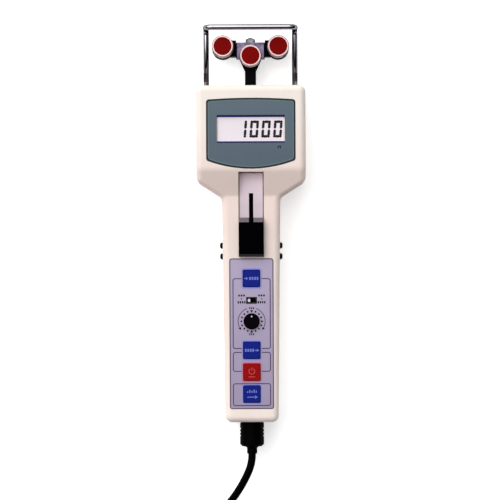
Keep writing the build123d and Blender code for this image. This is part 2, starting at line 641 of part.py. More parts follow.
def side_screw_holes():
    """Clearance holes for the side screws."""
    radius = SIDE_SCREW_RADIUS + FIXED_GAP
    rows = [round_x(y, SIDE_SCREW_Z, radius, EAR_X, HEAD_WIDTH / 2) for y in SIDE_SCREW_ROWS]
    return both_sides(together(rows))


def bezel_outline(gap=0.0):
    """The display bezel's face, bowed along its upper and lower edges."""
    half = BEZEL_WIDTH / 2 + gap
    foot, head = BEZEL_FOOT_Y - gap, BEZEL_HEAD_Y + gap
    edges = [
        ThreePointArc((-half, foot), (0, foot - BEZEL_FOOT_BOW), (half, foot)),
        Line((half, foot), (half, head)),
        ThreePointArc((half, head), (0, head + BEZEL_HEAD_BOW), (-half, head)),
        Line((-half, head), (-half, foot)),
    ]
    face = make_face(edges)
    return fillet(face.vertices(), BEZEL_CORNER)


def control_holes():
    """Holes through the grip's front wall for the keys, the selector and the range lever."""
    z0, z1 = GRIP_INNER_Z - BEYOND, GRIP_DEPTH + BEYOND
    half = RANGE_SLOT_WIDTH / 2
    holes = centred(RANGE_SLOT_LENGTH, RANGE_Y - half, RANGE_Y + half, z0, z1)
    holes += round_z(0, KNOB_Y, KNOB_RADIUS + REST_GAP, z0, z1)
    for y in KEY_ROWS.values():
        holes += rounded_pad(KEY_HOLE, KEY_HOLE, KEY_CORNER + SLIDE_GAP, y, z0, z1)
    return holes


def overlay_pad(gap, z1):
    """The shape of the control overlay, and of its recess when a gap is added."""
    width, length = OVERLAY_WIDTH + 2 * gap, OVERLAY_LENGTH + 2 * gap
    middle = (OVERLAY_FOOT_Y + OVERLAY_HEAD_Y) / 2
    return rounded_pad(width, length, OVERLAY_CORNER + gap, middle, GRIP_DEPTH - OVERLAY_THICKNESS, z1)


def window_hole(inset, z0, z1):
    """The display window's outline, drawn in by an inset."""
    width, height = WINDOW_WIDTH - 2 * inset, WINDOW_HEIGHT - 2 * inset
    return rounded_pad(width, height, WINDOW_CORNER, WINDOW_Y, z0, z1)


def front_housing(outer, inner):
    """The front shell: display recess and window, slide channel, control holes, posts and bosses."""
    above = block(-HEAD_WIDTH, HEAD_WIDTH, -BEYOND, HOUSING_LENGTH + BEYOND, SEAM_Z, HEAD_DEPTH + BEYOND)
    cavity = inner & above
    shell = (outer & above) - cavity
    shell -= seam_ring(WALL - LIP_THICKNESS - FIXED_GAP, WALL, SEAM_Z, SEAM_Z + LIP_HEIGHT + FIXED_GAP)
    shell -= seam_ring(-BEYOND, SEAM_GROOVE, SEAM_Z, SEAM_Z + SEAM_GROOVE)
    ribs = slide_trough() + bow_bosses(SEAM_Z, HEAD_DEPTH) + case_bosses(SEAM_Z, HEAD_DEPTH)
    ribs += main_board_posts() + display_board_posts()
    shell += ribs & cavity
    for x, y in CASE_SCREWS:
        pilot = round_z(x, y, SCREW_RADIUS + FIXED_GAP / 2, SEAM_Z - BEYOND, SCREW_TOP_Z + BEYOND)
        shell -= both_sides(pilot)
    shell -= seam_holes() + head_window() + side_screw_holes()
    top = HEAD_DEPTH + BEYOND
    shell -= Pos(0, 0, BEZEL_REAR_Z) * extrude(bezel_outline(FIXED_GAP), top - BEZEL_REAR_Z)
    shell -= window_hole(WINDOW_LEDGE, HEAD_INNER_Z - BEYOND, top)
    shell -= centred(CHANNEL_WIDTH, CHANNEL_FOOT_Y, CHANNEL_HEAD_Y, CHANNEL_FLOOR_Z, top)
    slot_floor = CHANNEL_FLOOR_Z - TROUGH_WALL - BEYOND
    shell -= centred(SLOT_WIDTH, SLOT_FOOT_Y, SLOT_HEAD_Y, slot_floor, top)
    return shell - overlay_pad(FIXED_GAP, GRIP_DEPTH + BEYOND) - control_holes()


def door_channel():
    """The stepped channel in the back that the battery door slides in."""
    head = DOOR_HEAD_Y + FIXED_GAP
    skin = centred(DOOR_SKIN_WIDTH + 2 * FIXED_GAP, -BEYOND, head, -BEYOND, DOOR_SKIN_FRONT_Z)
    flange_rear = DOOR_SKIN_FRONT_Z - FIXED_GAP
    flange = centred(DOOR_FLANGE_WIDTH + 2 * FIXED_GAP, -BEYOND, head, flange_rear, BAY_FLOOR_Z)
    return skin + flange


def screw_seat_z(y):
    """Where a case screw's head sits: the screws under the battery door start at its channel."""
    return COUNTERBORE + (BAY_FLOOR_Z if y < DOOR_HEAD_Y else 0)


def rear_housing(outer, inner):
    """The rear shell: battery bay and door rails, screw bosses and the seam's locating lip."""
    below = block(-HEAD_WIDTH, HEAD_WIDTH, -BEYOND, HOUSING_LENGTH + BEYOND, -BEYOND, SEAM_Z)
    cavity = inner & below
    shell = (outer & below) - cavity
    ribs = centred(TAIL_WIDTH, 0, DOOR_HEAD_Y + WALL, 0, RAIL_FRONT_Z)
    for y in (BAY_FOOT_Y - PARTITION, BAY_HEAD_Y):
        ribs += centred(NECK_WIDTH, y, y + PARTITION, 0, PARTITION_TOP)
    ribs += bow_bosses(0, SEAM_Z) + case_bosses(0, SEAM_Z)
    shell += ribs & cavity
    shell += seam_ring(WALL - LIP_THICKNESS, WALL, SEAM_Z, SEAM_Z + LIP_HEIGHT)
    shell -= door_channel()
    shell -= centred(DOOR_SKIN_WIDTH, BAY_FOOT_Y, BAY_HEAD_Y, 0, RAIL_FRONT_Z + BEYOND)
    for x, y in CASE_SCREWS:
        bore = round_z(x, y, SCREW_RADIUS + FIXED_GAP, 0, SEAM_Z + BEYOND)
        bore += round_z(x, y, SCREW_HEAD_RADIUS + FIXED_GAP, -BEYOND, screw_seat_z(y))
        shell -= both_sides(bore)
    return shell - seam_holes() - head_window()


def battery_door(outer):
    """A flat door with guiding flanges and a grip at its head end."""
    skin = centred(DOOR_SKIN_WIDTH, -BEYOND, DOOR_HEAD_Y, DOOR_RECESS, DOOR_SKIN_FRONT_Z)
    flange = centred(DOOR_FLANGE_WIDTH, -BEYOND, DOOR_HEAD_Y, DOOR_SKIN_FRONT_Z, DOOR_FRONT_Z)
    door = (skin + flange) & outer
    for n in range(DOOR_GRIPS):
        y = DOOR_HEAD_Y - DOOR_GRIP_MARGIN + DOOR_GRIP_PITCH * n
        door -= centred(DOOR_SKIN_WIDTH / 2, y, y + DOOR_GRIP_WIDTH, 0, DOOR_RECESS + DOOR_GRIP_DEPTH)
    return door


# ---- Fasteners and batteries -------------------------------------------------------------------
def case_screws():
    """Socket screws that hold the shells together."""
    screws = []
    for x, y in CASE_SCREWS:
        seat = screw_seat_z(y)
        head = round_z(x, y, SCREW_HEAD_RADIUS, seat - SCREW_HEAD, seat)
        screw = head + round_z(x, y, SCREW_RADIUS, seat, SCREW_TOP_Z)
        screw -= Pos(x, y, seat - SCREW_HEAD) * extrude(RegularPolygon(SCREW_SOCKET_RADIUS, 6), SCREW_SOCKET)
        screws += [screw, mirror(screw, Plane.YZ)]
    return apart(*screws)


def side_screws():
    """Slotted screws through the grip's sides into the chassis ears."""
    slot_depth, slot_length, slot_width = SIDE_SCREW_SLOT
    screws = []
    for y in SIDE_SCREW_ROWS:
        seat = grip_half_width(y) + FIXED_GAP
        dome = seat + SIDE_SCREW_PROUD
        head = round_x(y, SIDE_SCREW_Z, SIDE_SCREW_HEAD_RADIUS, seat, dome)
        head = chamfer(head.edges().filter_by(lambda e: e.center().X > dome - HAIR), SIDE_SCREW_CHAMFER)
        screw = head + round_x(y, SIDE_SCREW_Z, SIDE_SCREW_RADIUS, EAR_X - CHASSIS_THICKNESS, seat)
        slot = Box(2 * slot_depth, slot_length, slot_width)
        screw -= Pos(dome, y, SIDE_SCREW_Z) * slot
        screws += [screw, mirror(screw, Plane.YZ)]
    return apart(*screws)


def battery(side):
    """A cylindrical cell; the two lie opposite ways round."""
    low, high = BAY_FOOT_Y + BATTERY_REACH, BAY_HEAD_Y - BATTERY_REACH
    x = side * BATTERY_X
    if side < 0:
        ends, nub = (low, low + BATTERY_LENGTH), (low + BATTERY_LENGTH, low + BATTERY_LENGTH + BATTERY_NUB)
    else:
        ends, nub = (high - BATTERY_LENGTH, high), (high - BATTERY_LENGTH - BATTERY_NUB, high - BATTERY_LENGTH)
    return round_y(x, BATTERY_Z, BATTERY_RADIUS, *ends) + round_y(x, BATTERY_Z, BATTERY_NUB_RADIUS, *nub)


def battery_contacts():
    """A bumped plate at each end of each cell."""
    half = CONTACT_WIDTH / 2
    z0, z1 = BATTERY_Z - CONTACT_HEIGHT / 2, BATTERY_Z + CONTACT_HEIGHT / 2
    plates = []
    for x in (-BATTERY_X, BATTERY_X):
        foot, head = BAY_FOOT_Y + CONTACT_THICKNESS, BAY_HEAD_Y - CONTACT_THICKNESS
        lower = block(x - half, x + half, BAY_FOOT_Y, foot, z0, z1)
        upper = block(x - half, x + half, head, BAY_HEAD_Y, z0, z1)
        plates.append(lower + round_y(x, BATTERY_Z, CONTACT_BUMP_RADIUS, foot, foot + CONTACT_BUMP))
        plates.append(upper + round_y(x, BATTERY_Z, CONTACT_BUMP_RADIUS, head - CONTACT_BUMP, head))
    return apart(*plates)


# ---- Display -----------------------------------------------------------------------------------
def display_bezel():
    """The bowed plate round the display window."""
    plate = Pos(0, 0, BEZEL_REAR_Z) * extrude(bezel_outline(), BEZEL_THICKNESS)
    plate = chamfer(front_edges(plate), BEZEL_CHAMFER)
    return plate - window_hole(0, BEZEL_REAR_Z - BEYOND, HEAD_DEPTH + BEYOND)


def display_window():
    """The clear pane that lies on the housing's ledge inside the bezel."""
    return window_hole(FIXED_GAP, BEZEL_REAR_Z, BEZEL_REAR_Z + WINDOW_THICKNESS)


def lcd_panel():
    """Two glasses, the rear one longer at the foot where it is wired."""
    foot, head = WINDOW_Y - LCD_HEIGHT / 2, WINDOW_Y + LCD_HEIGHT / 2
    step = HEAD_INNER_Z - LCD_FRONT_GLASS
    rear_glass = centred(LCD_WIDTH, foot, head, LCD_REAR_Z, step)
    return rear_glass + centred(LCD_WIDTH, foot + LCD_LEDGE, head, step, HEAD_INNER_Z)


def display_board():
    """The board behind the panel."""
    half = DISPLAY_BOARD_HEIGHT / 2
    y0, y1 = WINDOW_Y - half, WINDOW_Y + half
    return centred(DISPLAY_BOARD_WIDTH, y0, y1, LCD_REAR_Z - BOARD_THICKNESS, LCD_REAR_Z)


# ---- Controls ----------------------------------------------------------------------------------
def control_overlay():
    """The printed film round the controls."""
    return overlay_pad(0, GRIP_DEPTH) - control_holes()


def key(y):
    """A square key with a hidden flange that keeps it in its hole."""
    cap = rounded_pad(KEY_SIZE, KEY_SIZE, KEY_CORNER, y, KEY_REAR_Z, GRIP_DEPTH + KEY_PROUD)
    cap = chamfer(front_edges(cap), KEY_CHAMFER)
    flange = KEY_SIZE + 2 * KEY_FLANGE_REACH
    return cap + rounded_pad(flange, flange, KEY_CORNER, y, KEY_REAR_Z, KEY_STOP_Z)


def key_switches():
    """A push switch under each key."""
    half = KEY_SWITCH_SIZE / 2
    body_top = PLUNGER_TOP_Z - PLUNGER_HEIGHT
    switches = []
    for y in KEY_ROWS.values():
        body = centred(KEY_SWITCH_SIZE, y - half, y + half, BOARD_FRONT_Z, body_top)
        switches.append(body + round_z(0, y, PLUNGER_RADIUS, body_top, PLUNGER_TOP_Z))
    return apart(*switches)


def selector_switch():
    """The rotary switch under the knob."""
    half = SELECTOR_SIZE / 2
    top = BOARD_FRONT_Z + SELECTOR_HEIGHT
    body = centred(SELECTOR_SIZE, KNOB_Y - half, KNOB_Y + half, BOARD_FRONT_Z, top)
    floor = BOARD_FRONT_Z + SELECTOR_FLOOR
    return body - round_z(0, KNOB_Y, KNOB_STEM_RADIUS + FIXED_GAP, floor, top + BEYOND)


def selector_knob():
    """A fluted knob on a round stem."""
    top = GRIP_DEPTH + KNOB_PROUD
    knob = round_z(0, KNOB_Y, KNOB_RADIUS, KNOB_REAR_Z, top)
    knob = chamfer(front_edges(knob), KNOB_CHAMFER)
    flute = Cylinder(KNOB_FLUTE_RADIUS, KNOB_PROUD + BEYOND, align=(Align.CENTER, Align.CENTER, Align.MIN))
    for place in PolarLocations(KNOB_RADIUS + SLIDE_GAP, KNOB_FLUTES):
        knob -= Pos(0, KNOB_Y, GRIP_DEPTH) * place * flute
    stem_rear = BOARD_FRONT_Z + SELECTOR_FLOOR + REST_GAP
    return knob + round_z(0, KNOB_Y, KNOB_STEM_RADIUS, stem_rear, KNOB_REAR_Z)


def range_switch():
    """The slide switch's open-topped body."""
    half_x, half_y = RANGE_SLOT_LENGTH / 2 + RANGE_WALL, LEVER_WIDTH / 2 + RANGE_WALL
    body = block(-half_x, half_x, RANGE_Y - half_y, RANGE_Y + half_y, BOARD_FRONT_Z, KEY_STOP_Z)
    hole_y = LEVER_WIDTH / 2 + SLIDE_GAP
    floor = BOARD_FRONT_Z + RANGE_FLOOR
    return body - centred(RANGE_SLOT_LENGTH, RANGE_Y - hole_y, RANGE_Y + hole_y, floor, GRIP_DEPTH)


def range_lever():
    """The slide switch's lever, at the left end of its travel."""
    x0 = -(LEVER_LENGTH + RANGE_TRAVEL) / 2
    y0, y1 = RANGE_Y - LEVER_WIDTH / 2, RANGE_Y + LEVER_WIDTH / 2
    z0 = BOARD_FRONT_Z + RANGE_FLOOR + FIXED_GAP
    lever = block(x0, x0 + LEVER_LENGTH, y0, y1, z0, GRIP_DEPTH + LEVER_PROUD)
    return chamfer(front_edges(lever), LEVER_CHAMFER)


def main_board():
    """The board that carries the switches, notched round the waist screws' bosses."""
    board = centred(BOARD_WIDTH, BOARD_FOOT_Y, BOARD_HEAD_Y, BOARD_REAR_Z, BOARD_FRONT_Z)
    x, y = CASE_SCREWS[1]
    notch = round_z(x, y, CASE_BOSS_RADIUS + REST_GAP, BOARD_REAR_Z - BEYOND, BOARD_FRONT_Z + BEYOND)
    board -= both_sides(notch)
    for side, row in zip((-1, 1), CHIP_ROWS):
        board += Pos(side * CHIP_X, row, BOARD_REAR_Z - CHIP_SIZE[2] / 2) * Box(*CHIP_SIZE)
    return board


# ---- Thumb slide, bar, guides and spring ---------------------------------------------------------
def slide_plate():
    """The slotted plate on the channel's floor."""
    y0, y1 = CHANNEL_FOOT_Y + FIXED_GAP, CHANNEL_HEAD_Y - FIXED_GAP
    plate = centred(CHANNEL_WIDTH - 2 * FIXED_GAP, y0, y1, CHANNEL_FLOOR_Z, SLIDE_PLATE_TOP_Z)
    return plate - centred(SLOT_WIDTH, SLOT_FOOT_Y, SLOT_HEAD_Y, CHANNEL_FLOOR_Z - BEYOND, GRIP_DEPTH)


def thumb_slide():
    """A wedge-ended block, dished along its top for the thumb, with a socket for its link."""
    foot, head, rear, front = THUMB_FOOT_Y, THUMB_HEAD_Y, THUMB_REAR_Z, THUMB_FRONT_Z
    slope, heel, sill = head - THUMB_SLOPE, foot + THUMB_HEEL, rear + THUMB_SILL
    edges = [
        Line((foot, rear), (head, rear)),
        Line((head, rear), (head, sill)),
        Line((head, sill), (slope, front)),
        ThreePointArc((slope, front), ((foot + head) / 2, front - THUMB_HOLLOW), (heel, front)),
        Line((heel, front), (foot, front - THUMB_HEEL)),
        Line((foot, front - THUMB_HEEL), (foot, rear)),
    ]
    body = extrude(Plane.YZ * make_face(edges), THUMB_WIDTH / 2, both=True)

    def on_upper_side(edge):
        middle = edge.center()
        return abs(abs(middle.X) - THUMB_WIDTH / 2) < HAIR and middle.Z > sill

    body = chamfer(body.edges().filter_by(on_upper_side), THUMB_CHAMFER)
    half = LINK_LENGTH / 2 + FIXED_GAP
    width = LINK_THICKNESS + 2 * FIXED_GAP
    return body - centred(width, LINK_Y - half, LINK_Y + half, rear - BEYOND, rear + LINK_GRIP + FIXED_GAP)


def slide_link():
    """The strip that stands on the bar and carries the thumb slide through the slot."""
    half_foot, half_stem = LINK_FOOT_LENGTH / 2, LINK_LENGTH / 2
    foot = centred(BAR_WIDTH, LINK_Y - half_foot, LINK_Y + half_foot, BAR_FRONT_Z, BAR_FRONT_Z + LINK_FOOT)
    top = THUMB_REAR_Z + LINK_GRIP
    return foot + centred(LINK_THICKNESS, LINK_Y - half_stem, LINK_Y + half_stem, BAR_FRONT_Z, top)


def slide_bar():
    """The flat bar from the thumb slide to the carrier, with a spring collar and a threaded stud."""
    bar = centred(BAR_WIDTH, BAR_FOOT_Y, BAR_SHOULDER_Y, BAR_REAR_Z, BAR_FRONT_Z)
    stud_end = CARRIER_HEAD_Y + NUT_THICKNESS + BAR_STUD_END
    bar += round_y(0, BAR_Z, BAR_STUD_RADIUS, BAR_SHOULDER_Y, stud_end)
    half = COLLAR_HEIGHT / 2
    return bar + centred(COLLAR_WIDTH, COLLAR_Y, COLLAR_Y + COLLAR_LENGTH, BAR_Z - half, BAR_Z + half)


def slide_guides():
    """Two bridges on the chassis that the bar runs through."""
    guides = []
    for y in (TAIL_GUIDE_Y, HEAD_GUIDE_Y):
        guide = centred(GUIDE_WIDTH, y, y + GUIDE_LENGTH, CHASSIS_TOP_Z, BAR_FRONT_Z + GUIDE_ROOF)
        guide = chamfer(front_edges(guide).filter_by(Axis.Y), GUIDE_CHAMFER)
        width = BAR_WIDTH + 2 * FIXED_GAP
        z0, z1 = BAR_REAR_Z - FIXED_GAP, BAR_FRONT_Z + FIXED_GAP
        guides.append(guide - centred(width, y - BEYOND, y + GUIDE_LENGTH + BEYOND, z0, z1))
    return apart(*guides)


def return_spring():
    """A compression spring round the bar, between its collar and the head guide."""
    foot = COLLAR_Y + COLLAR_LENGTH + FIXED_GAP + SPRING_WIRE / 2
    length = HEAD_GUIDE_Y - FIXED_GAP - SPRING_WIRE / 2 - foot
    helix = Helix(pitch=length / SPRING_TURNS, height=length, radius=SPRING_RADIUS)
    section = Plane(origin=helix @ 0, z_dir=helix % 0) * Rectangle(SPRING_WIRE, SPRING_WIRE)
    return Pos(0, foot, BAR_Z) * Rot(-90, 0, 0) * sweep(section, helix, is_frenet=True)


def chassis():
    """A sheet frame: base, side ears for the side screws and a pillar for the load cell."""
    plate = centred(CHASSIS_WIDTH, CHASSIS_FOOT_Y, CHASSIS_HEAD_Y, WALL, CHASSIS_TOP_Z)
    shelf_foot = ARM_FOOT_Y - ARM_PAD_LENGTH / 3
    half = CHASSIS_SHELF_MARGIN - CELL_LEFT_X
    plate += centred(2 * half, shelf_foot, CHASSIS_HEAD_Y, WALL, CHASSIS_TOP_Z)
    raised = CHASSIS_TOP_Z + CHASSIS_THICKNESS / 2
    plate += centred(2 * EAR_X, EAR_FOOT_Y, EAR_HEAD_Y, CHASSIS_TOP_Z - CHASSIS_THICKNESS / 2, raised)
    ear = block(EAR_X - CHASSIS_THICKNESS, EAR_X, EAR_FOOT_Y, EAR_HEAD_Y, CHASSIS_TOP_Z, EAR_TOP)
    for y in SIDE_SCREW_ROWS:
        ear -= round_x(y, SIDE_SCREW_Z, SIDE_SCREW_RADIUS + FIXED_GAP / 2, 0, HEAD_WIDTH)
    plate += both_sides(ear)
    pillar_right = FRAME_SCREW_X + CELL_SCREW_MARGIN
    pad_head = ARM_FOOT_Y + ARM_PAD_LENGTH
    pillar = block(CELL_LEFT_X, pillar_right, ARM_FOOT_Y, pad_head, CHASSIS_TOP_Z, ARM_FRONT_Z)
    for y in CELL_SCREW_ROWS:
        pillar -= round_z(FRAME_SCREW_X, y, SCREW_RADIUS, ARM_REAR_Z - BEYOND, ARM_FRONT_Z + BEYOND)
    return plate + pillar


# ---- Measuring head ------------------------------------------------------------------------------
def load_cell():
    """A beam thinned by two joined holes, so that its free end moves straight along Y."""
    beam = block(CELL_LEFT_X, CELL_RIGHT_X, ARM_FOOT_Y, ARM_FOOT_Y + ARM_PAD_LENGTH, ARM_FRONT_Z, CELL_FRONT_Z)
    below, above = ARM_FRONT_Z - BEYOND, CELL_FRONT_Z + BEYOND
    left, right = CELL_MIDDLE_X - CELL_HOLE_PITCH / 2, CELL_MIDDLE_X + CELL_HOLE_PITCH / 2
    for x in (left, right):
        beam -= round_z(x, ARM_PAD_Y, CELL_HOLE_RADIUS, below, above)
    beam -= block(left, right, ARM_PAD_Y - CELL_SLOT / 2, ARM_PAD_Y + CELL_SLOT / 2, below, above)
    for x in (FRAME_SCREW_X, ARM_SCREW_X):
        for y in CELL_SCREW_ROWS:
            beam -= round_z(x, y, SCREW_RADIUS + FIXED_GAP, below, above)
    return beam


def cell_screws(x):
    """The two cap screws at one end of the load cell."""
    screws = []
    for y in CELL_SCREW_ROWS:
        head = round_z(x, y, SCREW_HEAD_RADIUS, CELL_FRONT_Z, CELL_FRONT_Z + SCREW_HEAD)
        shank = round_z(x, y, SCREW_RADIUS - FIXED_GAP / 2, ARM_REAR_Z + REST_GAP, CELL_FRONT_Z)
        screws.append(head + shank)
    return apart(*screws)


def measuring_arm():
    """A flat arm: a pad under the load cell, a straight stem and a round head for the roller."""
    neck_y = MIDDLE_ROLLER_Y - ARM_NECK
    stem = Pos(0, (ARM_FOOT_Y + neck_y) / 2) * Rectangle(ARM_WIDTH, neck_y - ARM_FOOT_Y)
    pad = Pos(0, ARM_PAD_Y) * RectangleRounded(ARM_PAD_WIDTH, ARM_PAD_LENGTH, ARM_PAD_CORNER)
    ring = (Pos(0, MIDDLE_ROLLER_Y) * Circle(ARM_HEAD_RADIUS)).edges()
    neck = Line((-ARM_WIDTH / 2, neck_y), (ARM_WIDTH / 2, neck_y)).edges()
    arm = Pos(0, 0, ARM_REAR_Z) * extrude(stem + pad + make_hull(ring + neck), ARM_THICKNESS)
    arm += round_z(0, MIDDLE_ROLLER_Y, BOSS_RADIUS, ARM_FRONT_Z, BOSS_FRONT_Z)
    arm -= round_z(0, MIDDLE_ROLLER_Y, BEARING_BORE, ARM_REAR_Z - BEYOND, BOSS_FRONT_Z + BEYOND)
    for y in CELL_SCREW_ROWS:
        arm -= round_z(ARM_SCREW_X, y, SCREW_RADIUS, ARM_REAR_Z - BEYOND, ARM_FRONT_Z + BEYOND)
    return arm


def axle(x, y, rear):
    """A slotted screw whose plain shank is the roller's axle."""
    seat = BEARING_FRONT_Z + FIXED_GAP
    top = seat + AXLE_HEAD
    screw = round_z(x, y, AXLE_HEAD_RADIUS, seat, top)
    screw += round_z(x, y, BEARING_BORE - RUNNING_GAP, rear, seat)
    return screw - Pos(x, y, top) * Box(AXLE_SLOT_WIDTH, 2 * AXLE_HEAD_RADIUS, 2 * AXLE_SLOT_DEPTH)


def roller(x, y):
    """A V-grooved roller with a seat for its bearing and a recess for its cap."""
    flank = (ROLLER_WIDTH - ROLLER_ROOT_WIDTH) / 2
    cap_floor = ROLLER_WIDTH - CAP_THICKNESS + CAP_PROUD
    shoulder = BEARING_RADIUS - ROLLER_SHOULDER
    seat = BEARING_RADIUS + PRESS_GAP
    cap_seat = CAP_RADIUS + FIXED_GAP / 2
    rim = ROLLER_RADIUS - ROLLER_CHAMFER
    outline = Polyline(
        (shoulder, 0),
        (rim, 0),
        (ROLLER_RADIUS, ROLLER_CHAMFER),
        (ROLLER_RADIUS, ROLLER_LAND),
        (ROLLER_ROOT, flank),
        (ROLLER_ROOT, flank + ROLLER_ROOT_WIDTH),
        (ROLLER_RADIUS, ROLLER_WIDTH - ROLLER_LAND),
        (ROLLER_RADIUS, ROLLER_WIDTH - ROLLER_CHAMFER),
        (rim, ROLLER_WIDTH),
        (cap_seat, ROLLER_WIDTH),
        (cap_seat, cap_floor),
        (seat, cap_floor),
        (seat, BEARING_LIP),
        (shoulder, BEARING_LIP),
        close=True,
    )
    return Pos(x, y, ROLLER_REAR_Z) * revolve(Plane.XZ * make_face(outline), Axis.Z)


def bearing(x, y):
    """A ball bearing as one ring."""
    ring = Circle(BEARING_RADIUS) - Circle(BEARING_BORE)
    return Pos(x, y, BEARING_REAR_Z) * extrude(ring, BEARING_WIDTH)


def cap(x, y):
    """The disc that covers a roller's bearing and axle."""
    rear = ROLLER_FRONT_Z - CAP_THICKNESS + CAP_PROUD
    disc = round_z(x, y, CAP_RADIUS, rear, rear + CAP_THICKNESS)
    return chamfer(front_edges(disc), CAP_PROUD)


def carrier_block():
    """The cross piece on the slide bar, with a tongue behind each roller arm."""
    body = centred(CARRIER_WIDTH, CARRIER_FOOT_Y, CARRIER_HEAD_Y, CARRIER_REAR_Z, CARRIER_FRONT_Z)
    body = chamfer(body.edges().filter_by(Axis.Y), CARRIER_CHAMFER)
    width = 2 * (OUTER_ROLLER_X + TONGUE_END)
    foot = CARRIER_FOOT_Y + OUTER_ARM_STEP
    height, middle = CARRIER_HEAD_Y - foot, (foot + CARRIER_HEAD_Y) / 2
    body += rounded_pad(width, height, TONGUE_CORNER, middle, CARRIER_REAR_Z, BAR_REAR_Z)
    gap = FIXED_GAP / 2
    z0, z1 = BAR_REAR_Z - gap, BAR_FRONT_Z + gap
    body -= centred(BAR_WIDTH + 2 * gap, CARRIER_FOOT_Y - BEYOND, BAR_SHOULDER_Y, z0, z1)
    body -= round_y(0, BAR_Z, BAR_STUD_RADIUS + gap, CARRIER_FOOT_Y, CARRIER_HEAD_Y + BEYOND)
    bore = round_z(OUTER_ROLLER_X, OUTER_ROLLER_Y, BEARING_BORE, CARRIER_REAR_Z - BEYOND, BAR_REAR_Z + BEYOND)
    return body - both_sides(bore)


def carrier_nut():
    """The hexagon nut on the slide bar's stud, chamfered towards the head end."""
    y0, y1 = CARRIER_HEAD_Y, CARRIER_HEAD_Y + NUT_THICKNESS
    hexagon = Plane.XZ * RegularPolygon(NUT_FLATS / 2, 6, major_radius=False)
    nut = Pos(0, y1, BAR_Z) * extrude(hexagon, NUT_THICKNESS)
    turned = round_y(0, BAR_Z, NUT_FLATS / math.sqrt(3), y0, y1)
    turned = chamfer(turned.edges().filter_by(lambda e: e.center().Y > y1 - HAIR), NUT_CHAMFER)
    return (nut & turned) - round_y(0, BAR_Z, BAR_STUD_RADIUS + FIXED_GAP / 2, y0 - BEYOND, y1 + BEYOND)


def roller_arm(side):
    """The black arm that lies on a tongue and carries an outer roller."""
    x, y, rear = OUTER_ROLLER_X, OUTER_ROLLER_Y, BAR_REAR_Z
    inner = CARRIER_WIDTH / 2 + FIXED_GAP
    foot, head = CARRIER_FOOT_Y + OUTER_ARM_STEP, CARRIER_HEAD_Y + OUTER_ARM_LEAD
    arm = block(inner, x, foot, head, rear, CARRIER_FRONT_Z)
    arm += round_z(x, y, ROLLER_RADIUS, rear, CARRIER_FRONT_Z)
    boss_step = ROLLER_REAR_Z - REST_GAP
    arm += round_z(x, y, BOSS_RADIUS + BOSS_FOOT, CARRIER_FRONT_Z, boss_step)
    arm += round_z(x, y, BOSS_RADIUS, boss_step, BOSS_FRONT_Z)
    arm -= round_z(x, y, BEARING_BORE, rear - BEYOND, BOSS_FRONT_Z + BEYOND)
    return arm if side > 0 else mirror(arm, Plane.YZ)


def guard_bow():
    """A bent wire: two legs at the seam, risers at their ends and a cross wire before the rollers."""
    foot = BOW_FOOT_Y + FIXED_GAP
    path = FilletPolyline(
        (-BOW_X, foot, SEAM_Z),
        (-BOW_X, BOW_Y, SEAM_Z),
        (-BOW_X, BOW_Y, BOW_FRONT_Z),
        (BOW_X, BOW_Y, BOW_FRONT_Z),
        (BOW_X, BOW_Y, SEAM_Z),
        (BOW_X, foot, SEAM_Z),
        radius=BOW_BEND,
    )
    section = Plane(origin=path @ 0, z_dir=path % 0) * Circle(BOW_WIRE / 2)
    return sweep(section, path)


# ---- Socket, plugs and cord ----------------------------------------------------------------------
def output_socket():
    """The panel socket in the tail, with a flange behind the wall."""
    seat = WALL + FIXED_GAP
    body = round_y(0, SEAM_Z, SOCKET_RADIUS, SOCKET_RECESS, SOCKET_RECESS + SOCKET_LENGTH)
    body += round_y(0, SEAM_Z, SOCKET_FLANGE_RADIUS, seat, seat + SOCKET_FLANGE)
    return body - round_y(0, SEAM_Z, SOCKET_BORE, SOCKET_RECESS - BEYOND, SOCKET_RECESS + SOCKET_BORE_DEPTH)


def plug_body():
    """A moulded round plug along Z: its front face at Z = 0, its neck behind it."""
    root = PLUG_NECK_RADIUS + PLUG_NECK_BLEND
    outline = Polyline(
        (0, 0),
        (PLUG_COLLAR_RADIUS, 0),
        (PLUG_COLLAR_RADIUS, -PLUG_COLLAR),
        (PLUG_RADIUS, -PLUG_COLLAR),
        (PLUG_RADIUS, PLUG_CHAMFER - PLUG_BODY_END),
        (PLUG_RADIUS - PLUG_CHAMFER, -PLUG_BODY_END),
        (root, -PLUG_BODY_END),
        (PLUG_NECK_RADIUS, -PLUG_BODY_END - PLUG_NECK_BLEND),
        (PLUG_NECK_RADIUS, -PLUG_OVERALL),
        (0, -PLUG_OVERALL),
        close=True,
    )
    body = revolve(Plane.XZ * make_face(outline), Axis.Z)
    groove = Box(2 * PLUG_GRIP_DEPTH, PLUG_GRIP_LENGTH, PLUG_GRIP_WIDTH)
    for x in (-PLUG_RADIUS, PLUG_RADIUS):
        for n in range(PLUG_GRIPS):
            body -= Pos(x, 0, -PLUG_GRIP_START - PLUG_GRIP_PITCH * n) * groove
    return body


def near_plug():
    """The plug in the tail: its shell and insert are hidden, so they are one solid with the body."""
    return NEAR_PLUG * (plug_body() + round_z(0, 0, PLUG_SHELL_RADIUS, 0, PLUG_SHELL_LENGTH))


def far_plug_body():
    """The free plug's moulded body, with the insulator that fills the foot of its shell."""
    radius = PLUG_SHELL_RADIUS - PLUG_SHELL_WALL - FIXED_GAP / 2
    return FAR_PLUG * (plug_body() + round_z(0, 0, radius, 0, INSERT_LENGTH))


